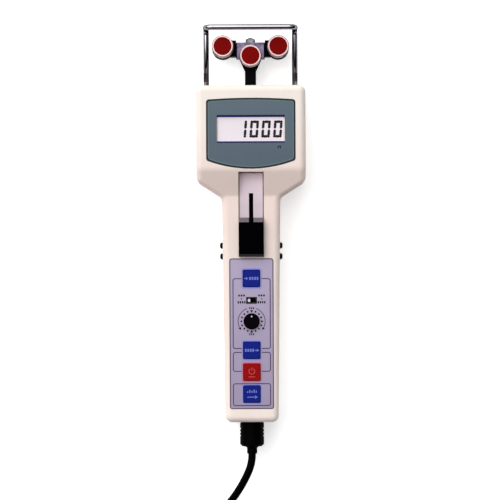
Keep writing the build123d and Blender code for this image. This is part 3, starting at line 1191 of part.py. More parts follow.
def far_plug_shell():
    """The free plug's metal shell, with its keyway, and its pins."""
    ring = Circle(PLUG_SHELL_RADIUS) - Circle(PLUG_SHELL_RADIUS - PLUG_SHELL_WALL)
    shell = extrude(ring, PLUG_SHELL_LENGTH)
    shell -= Pos(0, PLUG_SHELL_RADIUS, PLUG_SHELL_LENGTH) * Box(*PLUG_KEYWAY)
    pins = []
    for n in range(PIN_COUNT):
        angle = math.pi * (1 + n / (PIN_COUNT - 1))
        x, y = PIN_CIRCLE * math.cos(angle), PIN_CIRCLE * math.sin(angle)
        pins.append(round_z(x, y, PIN_RADIUS, INSERT_LENGTH, PLUG_SHELL_LENGTH - PIN_RECESS))
    return FAR_PLUG * apart(shell, *pins)


def bend_radii(route):
    """For each corner: its share of the shorter run over the tangent of half its turn."""
    points = [Vector(*p) for p in route]
    radii = []
    for before, corner, after in zip(points, points[1:], points[2:]):
        arriving, leaving = corner - before, after - corner
        half_turn = math.radians(arriving.get_angle(leaving)) / 2
        radii.append(BEND_SHARE * min(arriving.length, leaving.length) / math.tan(half_turn))
    return radii


def tube(route):
    """A plain cord: straight runs joined by arcs as large as the runs allow."""
    radii = bend_radii(route)
    path = FilletPolyline(*route, radius=radii)
    section = Plane(origin=path @ 0, z_dir=path % 0) * Circle(CORD_RADIUS)
    cord = sweep(section, path)
    ratio = cord.volume / (math.pi * CORD_RADIUS**2 * path.length)
    print("cord", round(path.length, 1), "radii", [round(r, 1) for r in radii], "volume ratio", round(ratio, 4))
    return cord


def cord_coil():
    """The coiled turns as one ring."""
    ring = extrude(Circle(COIL_OUTER) - Circle(COIL_INNER), COIL_HEIGHT)
    return Pos(COIL_X, COIL_Y, COIL_REAR_Z) * chamfer(ring.edges().filter_by(GeomType.CIRCLE), COIL_CHAMFER)


def coil_ties():
    """Two straps round the coil's turns, on which the coil lies."""
    half = TIE_WIDTH / 2
    outside = COIL_OUTER + FIXED_GAP
    inside = math.sqrt(COIL_INNER**2 - half**2) - FIXED_GAP
    top = COIL_REAR_Z + COIL_HEIGHT + FIXED_GAP
    loop = block(inside - TIE_THICKNESS, outside + TIE_THICKNESS, -half, half, 0, top + TIE_THICKNESS)
    loop -= block(inside, outside, -half - BEYOND, half + BEYOND, COIL_REAR_Z, top)
    return Pos(COIL_X, COIL_Y, 0) * both_sides(loop)


# ---- Assembly ------------------------------------------------------------------------------------
def all_nodes():
    """Every piece by name, in tail coordinates."""
    outer, inner = envelope(), envelope(WALL)
    nodes = {
        "front_housing": front_housing(outer, inner),
        "rear_housing": rear_housing(outer, inner),
        "battery_door": battery_door(outer),
        "case_screws": case_screws(),
        "side_screws": side_screws(),
        "left_battery": battery(-1),
        "right_battery": battery(1),
        "battery_contacts": battery_contacts(),
        "display_bezel": display_bezel(),
        "display_window": display_window(),
        "lcd_panel": lcd_panel(),
        "display_board": display_board(),
        "control_overlay": control_overlay(),
        "key_switches": key_switches(),
        "selector_switch": selector_switch(),
        "selector_knob": selector_knob(),
        "range_switch": range_switch(),
        "range_lever": range_lever(),
        "main_board": main_board(),
        "slide_plate": slide_plate(),
        "thumb_slide": thumb_slide(),
        "slide_link": slide_link(),
        "slide_bar": slide_bar(),
        "slide_guides": slide_guides(),
        "return_spring": return_spring(),
        "chassis": chassis(),
        "load_cell": load_cell(),
        "load_cell_screws": cell_screws(FRAME_SCREW_X),
        "arm_screws": cell_screws(ARM_SCREW_X),
        "measuring_arm": measuring_arm(),
        "carrier_block": carrier_block(),
        "carrier_nut": carrier_nut(),
        "left_roller_arm": roller_arm(-1),
        "right_roller_arm": roller_arm(1),
        "guard_bow": guard_bow(),
        "output_socket": output_socket(),
        "near_plug": near_plug(),
        "cord_lead": tube(LEAD_ROUTE),
        "cord_coil": cord_coil(),
        "coil_ties": coil_ties(),
        "cord_tail": tube(TAIL_ROUTE),
        "far_plug_body": far_plug_body(),
        "far_plug_shell": far_plug_shell(),
    }
    for name, y in KEY_ROWS.items():
        nodes[name] = key(y)
    places = {
        "left": (-OUTER_ROLLER_X, OUTER_ROLLER_Y, CARRIER_REAR_Z),
        "right": (OUTER_ROLLER_X, OUTER_ROLLER_Y, CARRIER_REAR_Z),
        "middle": (0, MIDDLE_ROLLER_Y, ARM_REAR_Z),
    }
    for side, (x, y, rear) in places.items():
        nodes[side + "_axle"] = axle(x, y, rear)
        nodes[side + "_roller"] = roller(x, y)
        nodes[side + "_bearing"] = bearing(x, y)
        nodes[side + "_cap"] = cap(x, y)
    return nodes


os.makedirs("parts", exist_ok=True)
for node_name, shape in all_nodes().items():
    export_step(Pos(0, -TOTAL_LENGTH / 2, 0) * shape, f"parts/{node_name}.step")
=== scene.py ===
"""The looks of a hand-held digital tension gauge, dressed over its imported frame.

Lengths are metres. +Z comes out of the display, +Y points from the tail to the rollers, +X is the
reader's right. Rigid parts keep their frame meshes and get finishes here. The lead, the polished
wire bow, the display's figures and everything that is printed are pieces of their own.
"""
import math

import bmesh
import bpy
from mathutils import Matrix, Vector


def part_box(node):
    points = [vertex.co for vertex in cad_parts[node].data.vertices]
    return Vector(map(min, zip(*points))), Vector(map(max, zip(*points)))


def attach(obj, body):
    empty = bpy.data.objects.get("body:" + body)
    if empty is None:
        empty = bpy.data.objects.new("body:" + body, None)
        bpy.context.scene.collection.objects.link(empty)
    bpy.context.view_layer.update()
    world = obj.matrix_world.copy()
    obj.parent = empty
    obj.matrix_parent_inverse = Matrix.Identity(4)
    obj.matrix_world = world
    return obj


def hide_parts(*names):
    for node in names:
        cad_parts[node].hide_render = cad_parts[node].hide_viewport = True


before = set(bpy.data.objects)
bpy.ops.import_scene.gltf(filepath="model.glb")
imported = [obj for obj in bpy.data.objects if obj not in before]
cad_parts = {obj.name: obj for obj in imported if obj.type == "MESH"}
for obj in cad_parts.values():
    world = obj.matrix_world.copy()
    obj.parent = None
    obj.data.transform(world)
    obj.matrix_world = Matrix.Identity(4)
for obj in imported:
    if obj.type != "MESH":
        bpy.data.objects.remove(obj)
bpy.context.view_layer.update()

MM = 0.001


def middle(node):
    """The middle of a frame node's box."""
    low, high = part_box(node)
    return (low + high) / 2


# ---- Shader tools --------------------------------------------------------------------------------
class Signal:
    """A shader socket. An expression on signals adds its own Math nodes."""

    def __init__(self, shading, socket):
        self.shading = shading
        self.socket = socket

    def maths(self, operation, *values):
        inputs = dict(enumerate(values))
        return self.shading.node("ShaderNodeMath", {"operation": operation}, inputs)

    def __add__(self, other):
        return self.maths("ADD", self, other)

    def __sub__(self, other):
        return self.maths("SUBTRACT", self, other)

    def __rsub__(self, other):
        return self.maths("SUBTRACT", other, self)

    def __mul__(self, other):
        return self.maths("MULTIPLY", self, other)

    def __truediv__(self, other):
        return self.maths("DIVIDE", self, other)

    def __abs__(self):
        return self.maths("ABSOLUTE", self)

    __radd__ = __add__
    __rmul__ = __mul__

    def root(self):
        return self.maths("SQRT", self)

    def above(self, level):
        return self.maths("GREATER_THAN", self, level)

    def below(self, level):
        return self.maths("LESS_THAN", self, level)

    def wave(self, pitch):
        """A sine wave of a given pitch, from -1 to 1."""
        return self.maths("SINE", self * (math.tau / pitch))

    def clamp(self, low=0.0, high=1.0):
        inputs = {"Value": self, "Min": low, "Max": high}
        return self.shading.node("ShaderNodeClamp", {}, inputs)

    def ramp(self, start, end):
        """Rises evenly from 0 at the start to 1 at the end, and stays level beyond them."""
        return ((self - start) / (end - start)).clamp()


class Shading:
    """A node tree: every node is added by one method."""

    def __init__(self, tree):
        self.tree = tree

    def feed(self, target, value):
        if isinstance(value, Signal):
            self.tree.links.new(value.socket, target)
        else:
            target.default_value = value

    def node(self, kind, settings, inputs, output=0):
        """Adds a node: its settings first, then the values or links of its sockets."""
        node = self.tree.nodes.new(kind)
        for setting, value in settings.items():
            setattr(node, setting, value)
        for socket, value in inputs.items():
            self.feed(node.inputs[socket], value)
        return Signal(self, node.outputs[output])

    def ray(self, kind):
        """1 for a ray of one kind, 0 for any other."""
        return self.node("ShaderNodeLightPath", {}, {}, kind)


class Finish(Shading):
    """A material that is built up on its Principled shader."""

    def __init__(self, name, sockets):
        self.material = bpy.data.materials.new(name)
        self.material.use_nodes = True
        super().__init__(self.material.node_tree)
        self.shader = self.tree.nodes["Principled BSDF"]
        for socket, value in sockets.items():
            self.feed(self.shader.inputs[socket], value)

    def place(self, stretch=(1, 1, 1), centre=(0, 0, 0)):
        """The point on the object, measured from a centre and stretched along its axes."""
        point = self.node("ShaderNodeTexCoord", {}, {}, "Object")
        moved = self.node("ShaderNodeVectorMath", {"operation": "SUBTRACT"}, {0: point, 1: centre})
        return self.node("ShaderNodeVectorMath", {"operation": "MULTIPLY"}, {0: moved, 1: stretch})

    def axis(self, name, centre=(0, 0, 0)):
        """One coordinate of the point on the object."""
        return self.node("ShaderNodeSeparateXYZ", {}, {"Vector": self.place(centre=centre)}, name)

    def along(self, node):
        """How far along a frame node the point lies: 0 at its tail end, 1 at its head end."""
        low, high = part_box(node)
        return self.axis("Y").ramp(low.y, high.y)

    def noise(self, grain, detail=2.0, stretch=(1, 1, 1)):
        """Cloudy noise with spots of about one grain."""
        inputs = {"Vector": self.place(stretch), "Scale": 1 / grain, "Detail": detail}
        return self.node("ShaderNodeTexNoise", {}, inputs)

    def cells(self, grain):
        """The distance from the middle of scattered cells of about one grain."""
        inputs = {"Vector": self.place(), "Scale": 1 / grain}
        return self.node("ShaderNodeTexVoronoi", {}, inputs)

    def blend(self, share, first, second):
        """A colour between two colours."""
        inputs = {0: share, 6: first, 7: second}
        return self.node("ShaderNodeMix", {"data_type": "RGBA"}, inputs, 2)

    def paint(self, colour):
        self.feed(self.shader.inputs["Base Color"], colour)

    def tint(self, share, colour, deeper, paler):
        """Paints one colour, made deeper where the share is 0 and paler where it is 1."""
        self.paint(self.blend(share, lighter(colour, deeper), lighter(colour, paler)))

    def rough(self, amount):
        self.feed(self.shader.inputs["Roughness"], amount)

    def bump(self, height, depth, strength=1.0):
        """Relief from a height between 0 and 1 that stands for a depth."""
        inputs = {"Height": height, "Distance": depth, "Strength": strength}
        self.feed(self.shader.inputs["Normal"], self.node("ShaderNodeBump", {}, inputs))


def ink(red, green, blue):
    """A colour given as it looks on a screen, 0 to 255, in linear light."""

    def linear(level):
        level /= 255
        return level / 12.92 if level <= 0.04045 else ((level + 0.055) / 1.055) ** 2.4

    return (linear(red), linear(green), linear(blue), 1.0)


def lighter(colour, factor):
    """A colour made paler above 1, or deeper below 1."""
    return tuple(min(1.0, channel * factor) for channel in colour[:3]) + (1.0,)


# ---- Plastics ------------------------------------------------------------------------------------
MOULD_CLOUD = 18 * MM        # size of the faint clouds in moulded plastic
MOULD_GRAIN = 0.35 * MM      # size of a mould's spark-eroded grain
MOULD_RELIEF = 0.012 * MM    # and its depth
FINE_GRAIN = 0.3 * MM        # grain of the smaller mouldings and of the satin plate


def mould_texture(finish, cloud, roughness, grain=MOULD_GRAIN, relief=MOULD_RELIEF):
    """The sheen and relief that a spark-eroded mould leaves."""
    texture = finish.noise(grain)
    finish.rough(texture * 0.16 + cloud * 0.08 + (roughness - 0.12))
    finish.bump(texture, relief)


def moulded(name, colour, roughness, grain=MOULD_GRAIN, relief=MOULD_RELIEF, mottle=0.3,
            shine=0.04):
    """Moulded plastic: a fine grain and a faint mottle in colour and sheen."""
    finish = Finish(name, {"Specular IOR Level": shine})
    cloud = finish.noise(MOULD_CLOUD, 3.0)
    finish.tint(cloud, colour, 1 - mottle, 1 + mottle)
    mould_texture(finish, cloud, roughness, grain, relief)
    return finish.material


def housing_plastic(name):
    """Moulded cream plastic, paler at the head and the tail as painted light, pinker at the ramp as
    painted shade.
    """
    finish = Finish(name, {"Specular IOR Level": 0.2})
    cloud = finish.noise(MOULD_CLOUD, 3.0)
    along = finish.axis("Y")
    # Painted light and shade along Y: pinker where the ramp lies in shade, paler at the head and
    # the tail where more light falls.
    ramp_shade_share = along.ramp(-25 * MM, 5 * MM)
    head = along.ramp(28 * MM, 68 * MM)
    tail = along.ramp(-55 * MM, -115 * MM)
    ramp_shade_pink = finish.blend(ramp_shade_share, ink(240, 226, 218), ink(239, 219, 211))
    pale = finish.blend(head, ramp_shade_pink, ink(243, 236, 228))
    tone = finish.blend(tail, pale, ink(249, 236, 228))
    finish.paint(finish.blend(cloud * 0.5, tone, ink(232, 214, 206)))
    mould_texture(finish, cloud, 0.52)
    return finish.material


def slide_face(name):
    """The pinkish plate under the thumb slide, paler at its head as painted light against the shade
    of the channel's walls.
    """
    finish = Finish(name, {"Specular IOR Level": 0.2})
    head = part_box("slide_plate")[1].y
    cloud = finish.noise(MOULD_CLOUD, 3.0)
    # Painted light: paler towards the head, to lift the shade that the channel's walls cast there.
    pale = finish.axis("Y").ramp(head - 22 * MM, head - 2 * MM)
    tone = finish.blend(pale, ink(208, 193, 201), ink(238, 220, 230))
    finish.paint(finish.blend(cloud * 0.3, tone, ink(200, 184, 192)))
    mould_texture(finish, cloud, 0.48)
    return finish.material


def thumb_plastic(name):
    """Black moulded plastic with speckled painted highlights: grey on the slope, but for its
    middle, and on the foot edge.
    """
    finish = Finish(name, {"Specular IOR Level": 0.0})
    low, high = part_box("thumb_slide")
    slope, slope_foot, foot_highlight_length, half_notch = 3.0 * MM, 2.0 * MM, 1.5 * MM, 1.5 * MM
    along = finish.axis("Y")
    sides = abs(finish.axis("X")).above(half_notch)
    # Painted highlight on the slope, which faces the lamp, and along the foot edge.
    slope_highlight = along.above(high.y - slope) * finish.axis("Z").above(low.z + slope_foot) * sides
    foot = along.below(low.y + foot_highlight_length)
    texture = finish.noise(FINE_GRAIN)
    speckle = finish.noise(0.9 * MM, 3.0)
    cloud = finish.noise(6 * MM)
    black = finish.blend(cloud, ink(1, 1, 2), ink(4, 3, 5))
    # The grey here is a speckled painted highlight.
    black_with_foot_highlight = finish.blend(foot * (speckle * 0.6 + 0.4), black, ink(74, 68, 74))
    finish.paint(finish.blend(slope_highlight * (speckle * 0.8 + 0.4).clamp(), black_with_foot_highlight, ink(122, 114, 118)))
    finish.rough(texture * 0.2 + 0.45)
    finish.bump(texture, MOULD_RELIEF)
    return finish.material


def lever_plastic(name):
    """Black moulded lever with a pale ridge in its middle."""
    finish = Finish(name, {"Specular IOR Level": 0.05})
    centre = middle("range_lever")
    ridge_x, ridge_y = 1.5 * MM, 2.0 * MM
    ridge = (abs(finish.axis("X", centre)).below(ridge_x / 2)
             * abs(finish.axis("Y", centre)).below(ridge_y / 2))
    texture = finish.noise(0.25 * MM)
    pale = finish.blend(texture, ink(196, 188, 200), ink(224, 218, 228))
    finish.paint(finish.blend(ridge, ink(10, 9, 12), pale))
    finish.rough(texture * 0.16 + 0.36)
    finish.bump(texture, 0.01 * MM)
    return finish.material


def key_plastic(name, colour):
    """Satin plastic with a very soft ripple and fine handling marks."""
    finish = Finish(name, {"Specular IOR Level": 0.08})
    cloud = finish.noise(9 * MM)
    scuffs = finish.noise(0.5 * MM, 4.0, (1, 0.18, 1))
    finish.tint(cloud, colour, 0.88, 1.12)
    finish.rough(scuffs * 0.2 + 0.34)
    finish.bump(scuffs * 0.25 + cloud, 0.02 * MM, 0.5)
    return finish.material


def rubber(name, colour, grain):
    """Soft black plastic with a matt bloom."""
    finish = Finish(name, {"Specular IOR Level": 0.02})
    bloom = finish.noise(7 * MM, 3.0)
    texture = finish.noise(grain)
    finish.tint(bloom, colour, 0.8, 1.5)
    finish.rough(texture * 0.18 + bloom * 0.12 + 0.38)
    finish.bump(texture, 0.01 * MM)
    return finish.material


# ---- Metals --------------------------------------------------------------------------------------
MILL_GRAIN = 0.22 * MM       # size of the marks that a mill or a grinder leaves
MILL_RELIEF = 0.006 * MM
LATHE_PITCH = 0.16 * MM      # between the rings that a lathe leaves
LATHE_RELIEF = 0.004 * MM
BOW_WIRE = 1.8 * MM          # radius of the guard bow's wire
BOW_DARK_REFLECTION_FOOT, BOW_DARK_REFLECTION_HEAD = 93.4 * MM, 99.2 * MM   # its stretch along Y with a painted dark reflection


def mill_texture(finish, marks, stain, roughness):
    """The sheen and relief of mill or grinding marks."""
    finish.rough(marks * 0.18 + stain * 0.1 + (roughness - 0.14))
    finish.bump(marks, MILL_RELIEF)


def brushed_metal(name, colour, roughness, stretch=(1, 1, 1)):
    """Metal with grinding marks that may be drawn out along one axis."""
    finish = Finish(name, {"Metallic": 1.0})
    marks = finish.noise(MILL_GRAIN, 3.0, stretch)
    finish.tint(marks, colour, 0.8, 1.12)
    mill_texture(finish, marks, finish.noise(6 * MM), roughness)
    return finish.material


def mottled_metal(name, dark, pale):
    """Anodised or oiled metal with uneven stains over its mill marks."""
    finish = Finish(name, {"Metallic": 1.0})
    stain = ((finish.noise(2.6 * MM, 3.0) - 0.35) * 3.3).clamp()
    marks = finish.noise(MILL_GRAIN, 3.0, (0.08, 1, 1))
    finish.paint(finish.blend(stain * 0.8 + marks * 0.2, dark, pale))
    mill_texture(finish, marks, stain, 0.38)
    return finish.material


def turned_metal(name, colour, roughness, centre):
    """Metal with the fine rings that a lathe leaves round an axis along Z."""
    finish = Finish(name, {"Metallic": 1.0})
    x = finish.axis("X", centre)
    y = finish.axis("Y", centre)
    rings = (x * x + y * y).root().wave(LATHE_PITCH) * 0.5 + 0.5
    stain = finish.noise(2.5 * MM, 3.0)
    finish.tint(rings * 0.5 + stain * 0.5, colour, 0.86, 1.08)
    finish.rough(rings * 0.1 + stain * 0.12 + (roughness - 0.1))
    finish.bump(rings, LATHE_RELIEF)
    return finish.material


def plating(name, dull, bright):
    """A plated finish with a faint pitting and a little haze, and the plating's colour."""
    finish = Finish(name, {"Metallic": 1.0, "Specular Tint": (0.02, 0.02, 0.03, 1)})
    haze = finish.noise(7 * MM, 3.0)
    pits = finish.cells(1.3 * MM).below(0.08)
    finish.rough(haze * 0.06 + pits * 0.15 + 0.03)
    finish.bump(1 - pits, 0.004 * MM)
    return finish, finish.blend(haze, dull, bright)


def polished_chrome(name):
    """Bright plating."""
    finish, colour = plating(name, ink(176, 174, 180), ink(206, 204, 210))
    finish.paint(colour)
    return finish.material


def bow_chrome(name):
    """Plating with painted dark reflections on the inner side of the bow's legs, and low on them.
    """
    finish, colour = plating(name, ink(148, 144, 151), ink(168, 164, 171))
    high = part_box("guard_bow")[1]
    along = finish.axis("Y")
    # Painted dark reflections: on the legs' inner side and low on them.
    inner = abs(finish.axis("X")).below(high.x - BOW_WIRE) * along.below(high.y - 2 * BOW_WIRE)
    foot = along.above(BOW_DARK_REFLECTION_FOOT) * along.below(BOW_DARK_REFLECTION_HEAD)
    painted_dark_reflection = (inner * 0.75 + foot * 0.8).clamp(0.0, 0.9)
    finish.paint(finish.blend(painted_dark_reflection, colour, ink(44, 38, 46)))
    return finish.material


# ---- Films, panes and inks -----------------------------------------------------------------------
def printed(name, colour, roughness=0.42):
    """Screen ink: slightly uneven cover with a pinholed edge to its sheen."""
    finish = Finish(name, {"Specular IOR Level": 0.1})
    cover = finish.noise(0.25 * MM, 3.0)
    finish.tint(cover, colour, 0.85, 1.15)
    finish.rough(cover * 0.15 + (roughness - 0.07))
    finish.bump(cover, 0.004 * MM)
    return finish.material


def overlay_film(name):
    """Lavender film: a fine leathery emboss, a little deeper in tone towards the tail."""
    finish = Finish(name, {"Specular IOR Level": 0.4})
    emboss = finish.cells(0.32 * MM)
    cloud = finish.noise(14 * MM)
    tone = finish.blend(finish.along("control_overlay"), ink(153, 140, 168), ink(173, 160, 188))
    finish.paint(finish.blend(cloud * 0.25, tone, ink(182, 172, 198)))
    finish.rough(emboss * 0.12 + 0.4)
    finish.bump(emboss, 0.008 * MM)
    return finish.material


def bezel_plate(name):
    """Grey-green plate with a satin face, a little paler at the head."""
    finish = Finish(name, {"Specular IOR Level": 0.2})
    grain = finish.noise(FINE_GRAIN, 3.0)
    cloud = finish.noise(12 * MM)
    tone = finish.blend(finish.along("display_bezel"), ink(76, 91, 104), ink(85, 101, 112))
    finish.paint(finish.blend(cloud * 0.3 + grain * 0.15, tone, ink(94, 108, 120)))
    finish.rough(grain * 0.16 + 0.32)
    finish.bump(grain, 0.006 * MM)
    return finish.material


def clear_pane(name):
    """A clear acrylic pane with faint wiping marks."""
    finish = Finish(name, {"Base Color": ink(150, 148, 156), "Alpha": 0.02, "IOR": 1.49})
    wipes = finish.noise(0.8 * MM, 4.0, (0.15, 1, 1))
    finish.rough(wipes * 0.1 + 0.04)
    return finish.material


def liquid_crystal(name):
    """The display's pale ground: a faint lilac grey with the cell's fine grid behind it, and a
    painted glow that pales the shade under the window's ledge.
    """
    grid, grid_edge = 0.5 * MM, 0.985
    finish = Finish(name, {"Specular IOR Level": 0.3, "Roughness": 0.3, "Emission Strength": 0.6})
    cloud = finish.noise(16 * MM)
    columns = finish.axis("X").wave(grid).above(grid_edge)
    rows = finish.axis("Y").wave(grid).above(grid_edge)
    lines = (columns + rows).clamp()
    finish.paint(finish.blend(cloud, ink(154, 148, 152), ink(162, 155, 159)))
    # Painted light: the ground glows though it is no lamp, its glow ruled by the grid.
    glow = finish.blend(cloud, ink(234, 224, 232), ink(243, 233, 240))
    painted_glow_ruled = finish.blend(lines * 0.25, glow, ink(200, 190, 206))
    finish.feed(finish.shader.inputs["Emission Color"], painted_glow_ruled)
    return finish.material


# ---- Inside --------------------------------------------------------------------------------------
def circuit_laminate(name):
    """Green solder mask over straight tracks and round pads."""
    track_pitch = 1.27 * MM
    finish = Finish(name, {"Roughness": 0.35})
    lanes = finish.axis("X").wave(track_pitch).above(0.55)
    tracks = lanes * finish.noise(7 * MM, 1.0, (1, 0.35, 1)).above(0.52)
    pads = finish.cells(3.2 * MM).below(0.16)
    mask = finish.blend(tracks * 0.6, ink(16, 62, 34), ink(40, 110, 62))
    finish.paint(finish.blend(pads, mask, ink(196, 190, 170)))
    finish.bump(tracks + pads, 0.02 * MM)
    return finish.material


def battery_wrap(name, node, copper_at_head):
    """A printed sleeve: dark along most of the cell, with a copper band at one end."""
    border = 0.72 if copper_at_head else 0.28
    finish = Finish(name, {"Coat Weight": 0.5, "Coat Roughness": 0.1, "Metallic": 0.4})
    along = finish.along(node)
    copper = along.above(border) if copper_at_head else along.below(border)
    edge = abs(along - border).below(0.012)
    sleeve = finish.blend(copper, ink(28, 30, 36), ink(176, 112, 60))
    finish.paint(finish.blend(edge, sleeve, ink(220, 220, 214)))
    finish.rough(finish.noise(4 * MM) * 0.14 + 0.2)
    return finish.material


CREAM = housing_plastic("cream housing")
PLATE_PINK = slide_face("pinkish slide plate")
THUMB_BLACK = thumb_plastic("black thumb slide")
LEVER_BLACK = lever_plastic("black lever")
KNOB_BLACK = moulded("black knob", ink(4, 3, 7), 0.5, grain=0.25 * MM, shine=0.02)
SOCKET_BLACK = moulded("black socket", ink(18, 18, 22), 0.45)
SWITCH_BLACK = moulded("black switch", ink(8, 8, 10), 0.5)
ARM_BLACK = moulded("black anodised arms", ink(4, 3, 5), 0.45, grain=0.2 * MM, relief=0.008 * MM,
                    shine=0.02)
NYLON_TIE = moulded("black nylon strap", ink(16, 16, 18), 0.36, grain=0.5 * MM)
ACETAL = moulded("white acetal guides", ink(226, 224, 214), 0.38, mottle=0.06, shine=0.2)
CAP_RED = moulded("red roller caps", ink(120, 10, 9), 0.4, grain=FINE_GRAIN, mottle=0.25,
                  shine=0.01)
KEY_BLUE = key_plastic("blue keys", ink(13, 29, 126))
KEY_RED = key_plastic("red key", ink(148, 2, 4))
CORD_SHEATH = rubber("black cord sheath", ink(2, 2, 2), grain=0.3 * MM)
PLUG_RUBBER = rubber("black moulded plug", ink(2, 1, 2), grain=0.45 * MM)
SCREW_BLACK = brushed_metal("blackened screws", ink(16, 15, 17), 0.42)
OXIDE_BLACK = brushed_metal("blackened slide bar", ink(9, 8, 10), 0.45, stretch=(1, 0.06, 1))
ZINC = brushed_metal("zinc plated screws", ink(190, 190, 192), 0.36)
ALUMINIUM = brushed_metal("milled aluminium", ink(196, 196, 198), 0.38, stretch=(0.06, 1, 1))
NICKEL = brushed_metal("nickel contacts", ink(168, 166, 160), 0.36, stretch=(0.08, 1, 1))
SPRING_STEEL = brushed_metal("spring wire", ink(150, 152, 158), 0.28)
CARRIER_METAL = mottled_metal("dark anodised carrier", ink(60, 49, 70), ink(128, 118, 142))
NUT_STEEL = mottled_metal("oiled nut", ink(60, 56, 62), ink(150, 148, 152))
CHROME = polished_chrome("polished chrome")
BOW_CHROME = bow_chrome("polished bow")
BEZEL_GREEN = bezel_plate("grey green bezel")
CLEAR = clear_pane("clear window")
CRYSTAL = liquid_crystal("liquid crystal ground")
FILM = overlay_film("lavender overlay")
LAMINATE = circuit_laminate("green circuit laminate")
INK_SEGMENT = printed("display figures", ink(18, 10, 18), 0.5)
INK_NAVY = printed("navy display lines", ink(22, 24, 84), 0.45)
# Ink for the unit mark's print, and for the painted shadow of the gap round the bezel.
INK_DARK_PRINT_AND_GAP_SHADOW = printed("dark bezel print and gap shadow", ink(30, 36, 40), 0.45)
# A painted highlight along the bezel's edge.
INK_BEZEL_EDGE_HIGHLIGHT = printed("painted bezel edge highlight", ink(100, 118, 120), 0.4)
INK_PLUM = printed("plum panel lines", ink(62, 40, 86))
INK_EDGE = printed("grey overlay edge", ink(88, 76, 92))
INK_WHITE = printed("white markings", ink(214, 212, 220))
INK_HALO_BLUE = printed("pale blue key surrounds", ink(150, 150, 206))
INK_HALO_RED = printed("pinkish key surround", ink(190, 128, 158))
INK_KEY_BLUE = printed("pale blue key marks", ink(110, 124, 200))
INK_KEY_RED = printed("pale red key marks", ink(198, 76, 78))
# A painted shadow of the channel's walls on the slide plate.
INK_CHANNEL_SHADOW = printed("painted channel shadow", ink(74, 56, 56))

NODE_FINISHES = (
    (CREAM, "front_housing rear_housing battery_door"),
    (PLATE_PINK, "slide_plate"),
    (THUMB_BLACK, "thumb_slide"),
    (LEVER_BLACK, "range_lever"),
    (KNOB_BLACK, "selector_knob"),
    (SOCKET_BLACK, "output_socket"),
    (SWITCH_BLACK, "key_switches selector_switch range_switch"),
    (ARM_BLACK, "measuring_arm left_roller_arm right_roller_arm"),
    (NYLON_TIE, "coil_ties"),
    (ACETAL, "slide_guides"),
    (CAP_RED, "left_cap middle_cap right_cap"),
    (KEY_BLUE, "memory_key recall_key output_key"),
    (KEY_RED, "power_key"),
    (PLUG_RUBBER, "near_plug far_plug_body"),
    (SCREW_BLACK, "side_screws"),
    (OXIDE_BLACK, "slide_link slide_bar"),
    (ZINC, "case_screws load_cell_screws arm_screws left_axle middle_axle right_axle"),
    (ALUMINIUM, "chassis load_cell"),
    (NICKEL, "battery_contacts"),
    (SPRING_STEEL, "return_spring"),
    (CARRIER_METAL, "carrier_block"),
    (NUT_STEEL, "carrier_nut"),
    (CHROME, "far_plug_shell"),
    (BEZEL_GREEN, "display_bezel"),
    (CLEAR, "display_window"),
    (CRYSTAL, "lcd_panel"),
    (FILM, "control_overlay"),
    (LAMINATE, "display_board main_board"),
    (battery_wrap("left battery sleeve", "left_battery", True), "left_battery"),
    (battery_wrap("right battery sleeve", "right_battery", False), "right_battery"),
)


def dress(node, finish):
    """Gives a frame node its finish."""
    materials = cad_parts[node].data.materials
    materials.clear()
    materials.append(finish)


for finish, nodes in NODE_FINISHES:
    for node in nodes.split():
        dress(node, finish)
for side in ("left", "middle", "right"):
    centre = middle(side + "_roller")
    turned = turned_metal(side + " turned roller", ink(184, 160, 162), 0.3, centre)
    dress(side + "_roller", turned)
    turned = turned_metal(side + " bearing steel", ink(186, 186, 190), 0.26, centre)
    dress(side + "_bearing", turned)


# ---- Modelling tools -----------------------------------------------------------------------------
PRINT_RISE = 0.04 * MM       # how far a print stands out of its surface
PRINT_SUNK = 0.02 * MM       # how far its underside lies in it
CORNER_STEPS = 6
ARC_STEPS = 32


def piece(name, bm, finish, body, smooth=False):
    """Makes a bmesh into a named piece that rides on a body."""
    mesh = bpy.data.meshes.new(name)
    bm.to_mesh(mesh)
    bm.free()
    if smooth:
        mesh.shade_smooth()
    mesh.materials.append(finish)
    made = bpy.data.objects.new(name, mesh)
    bpy.context.scene.collection.objects.link(made)
    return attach(made, body)


def verts_in(geometry):
    """The vertices among what an operator returned."""
    return [item for item in geometry if isinstance(item, bmesh.types.BMVert)]


def edges_in(geometry):
    """The edges among what an operator returned."""
    return [item for item in geometry if isinstance(item, bmesh.types.BMEdge)]


def bar(bm, x, y, width, height):
    """A flat rectangle. Returns its vertices."""
    place = Matrix.Translation((x, y, 0)) @ Matrix.Diagonal((width / 2, height / 2, 1, 1))
    return bmesh.ops.create_grid(bm, x_segments=1, y_segments=1, size=1, matrix=place)["verts"]


def row(bm, x, y, count, pitch, width, height):
    """Equal rectangles in a row, from the middle of the first one."""
    for n in range(count):
        bar(bm, x + pitch * n, y, width, height)


def dot(bm, x, y, radius, segments=20):
    """A flat disc."""
    place = Matrix.Translation((x, y, 0))
    bmesh.ops.create_circle(bm, cap_ends=True, segments=segments, radius=radius, matrix=place)


def arrowhead(bm, x, y, size, angle):
    """A flat triangle that points along an angle, counted from +X."""
    place = Matrix.Translation((x, y, 0)) @ Matrix.Rotation(angle - math.pi / 2, 4, "Z")
    bmesh.ops.create_circle(bm, cap_ends=True, segments=3, radius=size, matrix=place)


def arc(bm, x, y, radius, width, start, sweep):
    """A flat band that follows part of a circle."""
    ends = [bm.verts.new((x + r * math.cos(start), y + r * math.sin(start), 0))
            for r in (radius - width / 2, radius + width / 2)]
    line = bm.edges.new(ends)
    bmesh.ops.spin(bm, geom=ends + [line], cent=(x, y, 0), axis=(0, 0, 1), angle=sweep,
                   steps=ARC_STEPS)


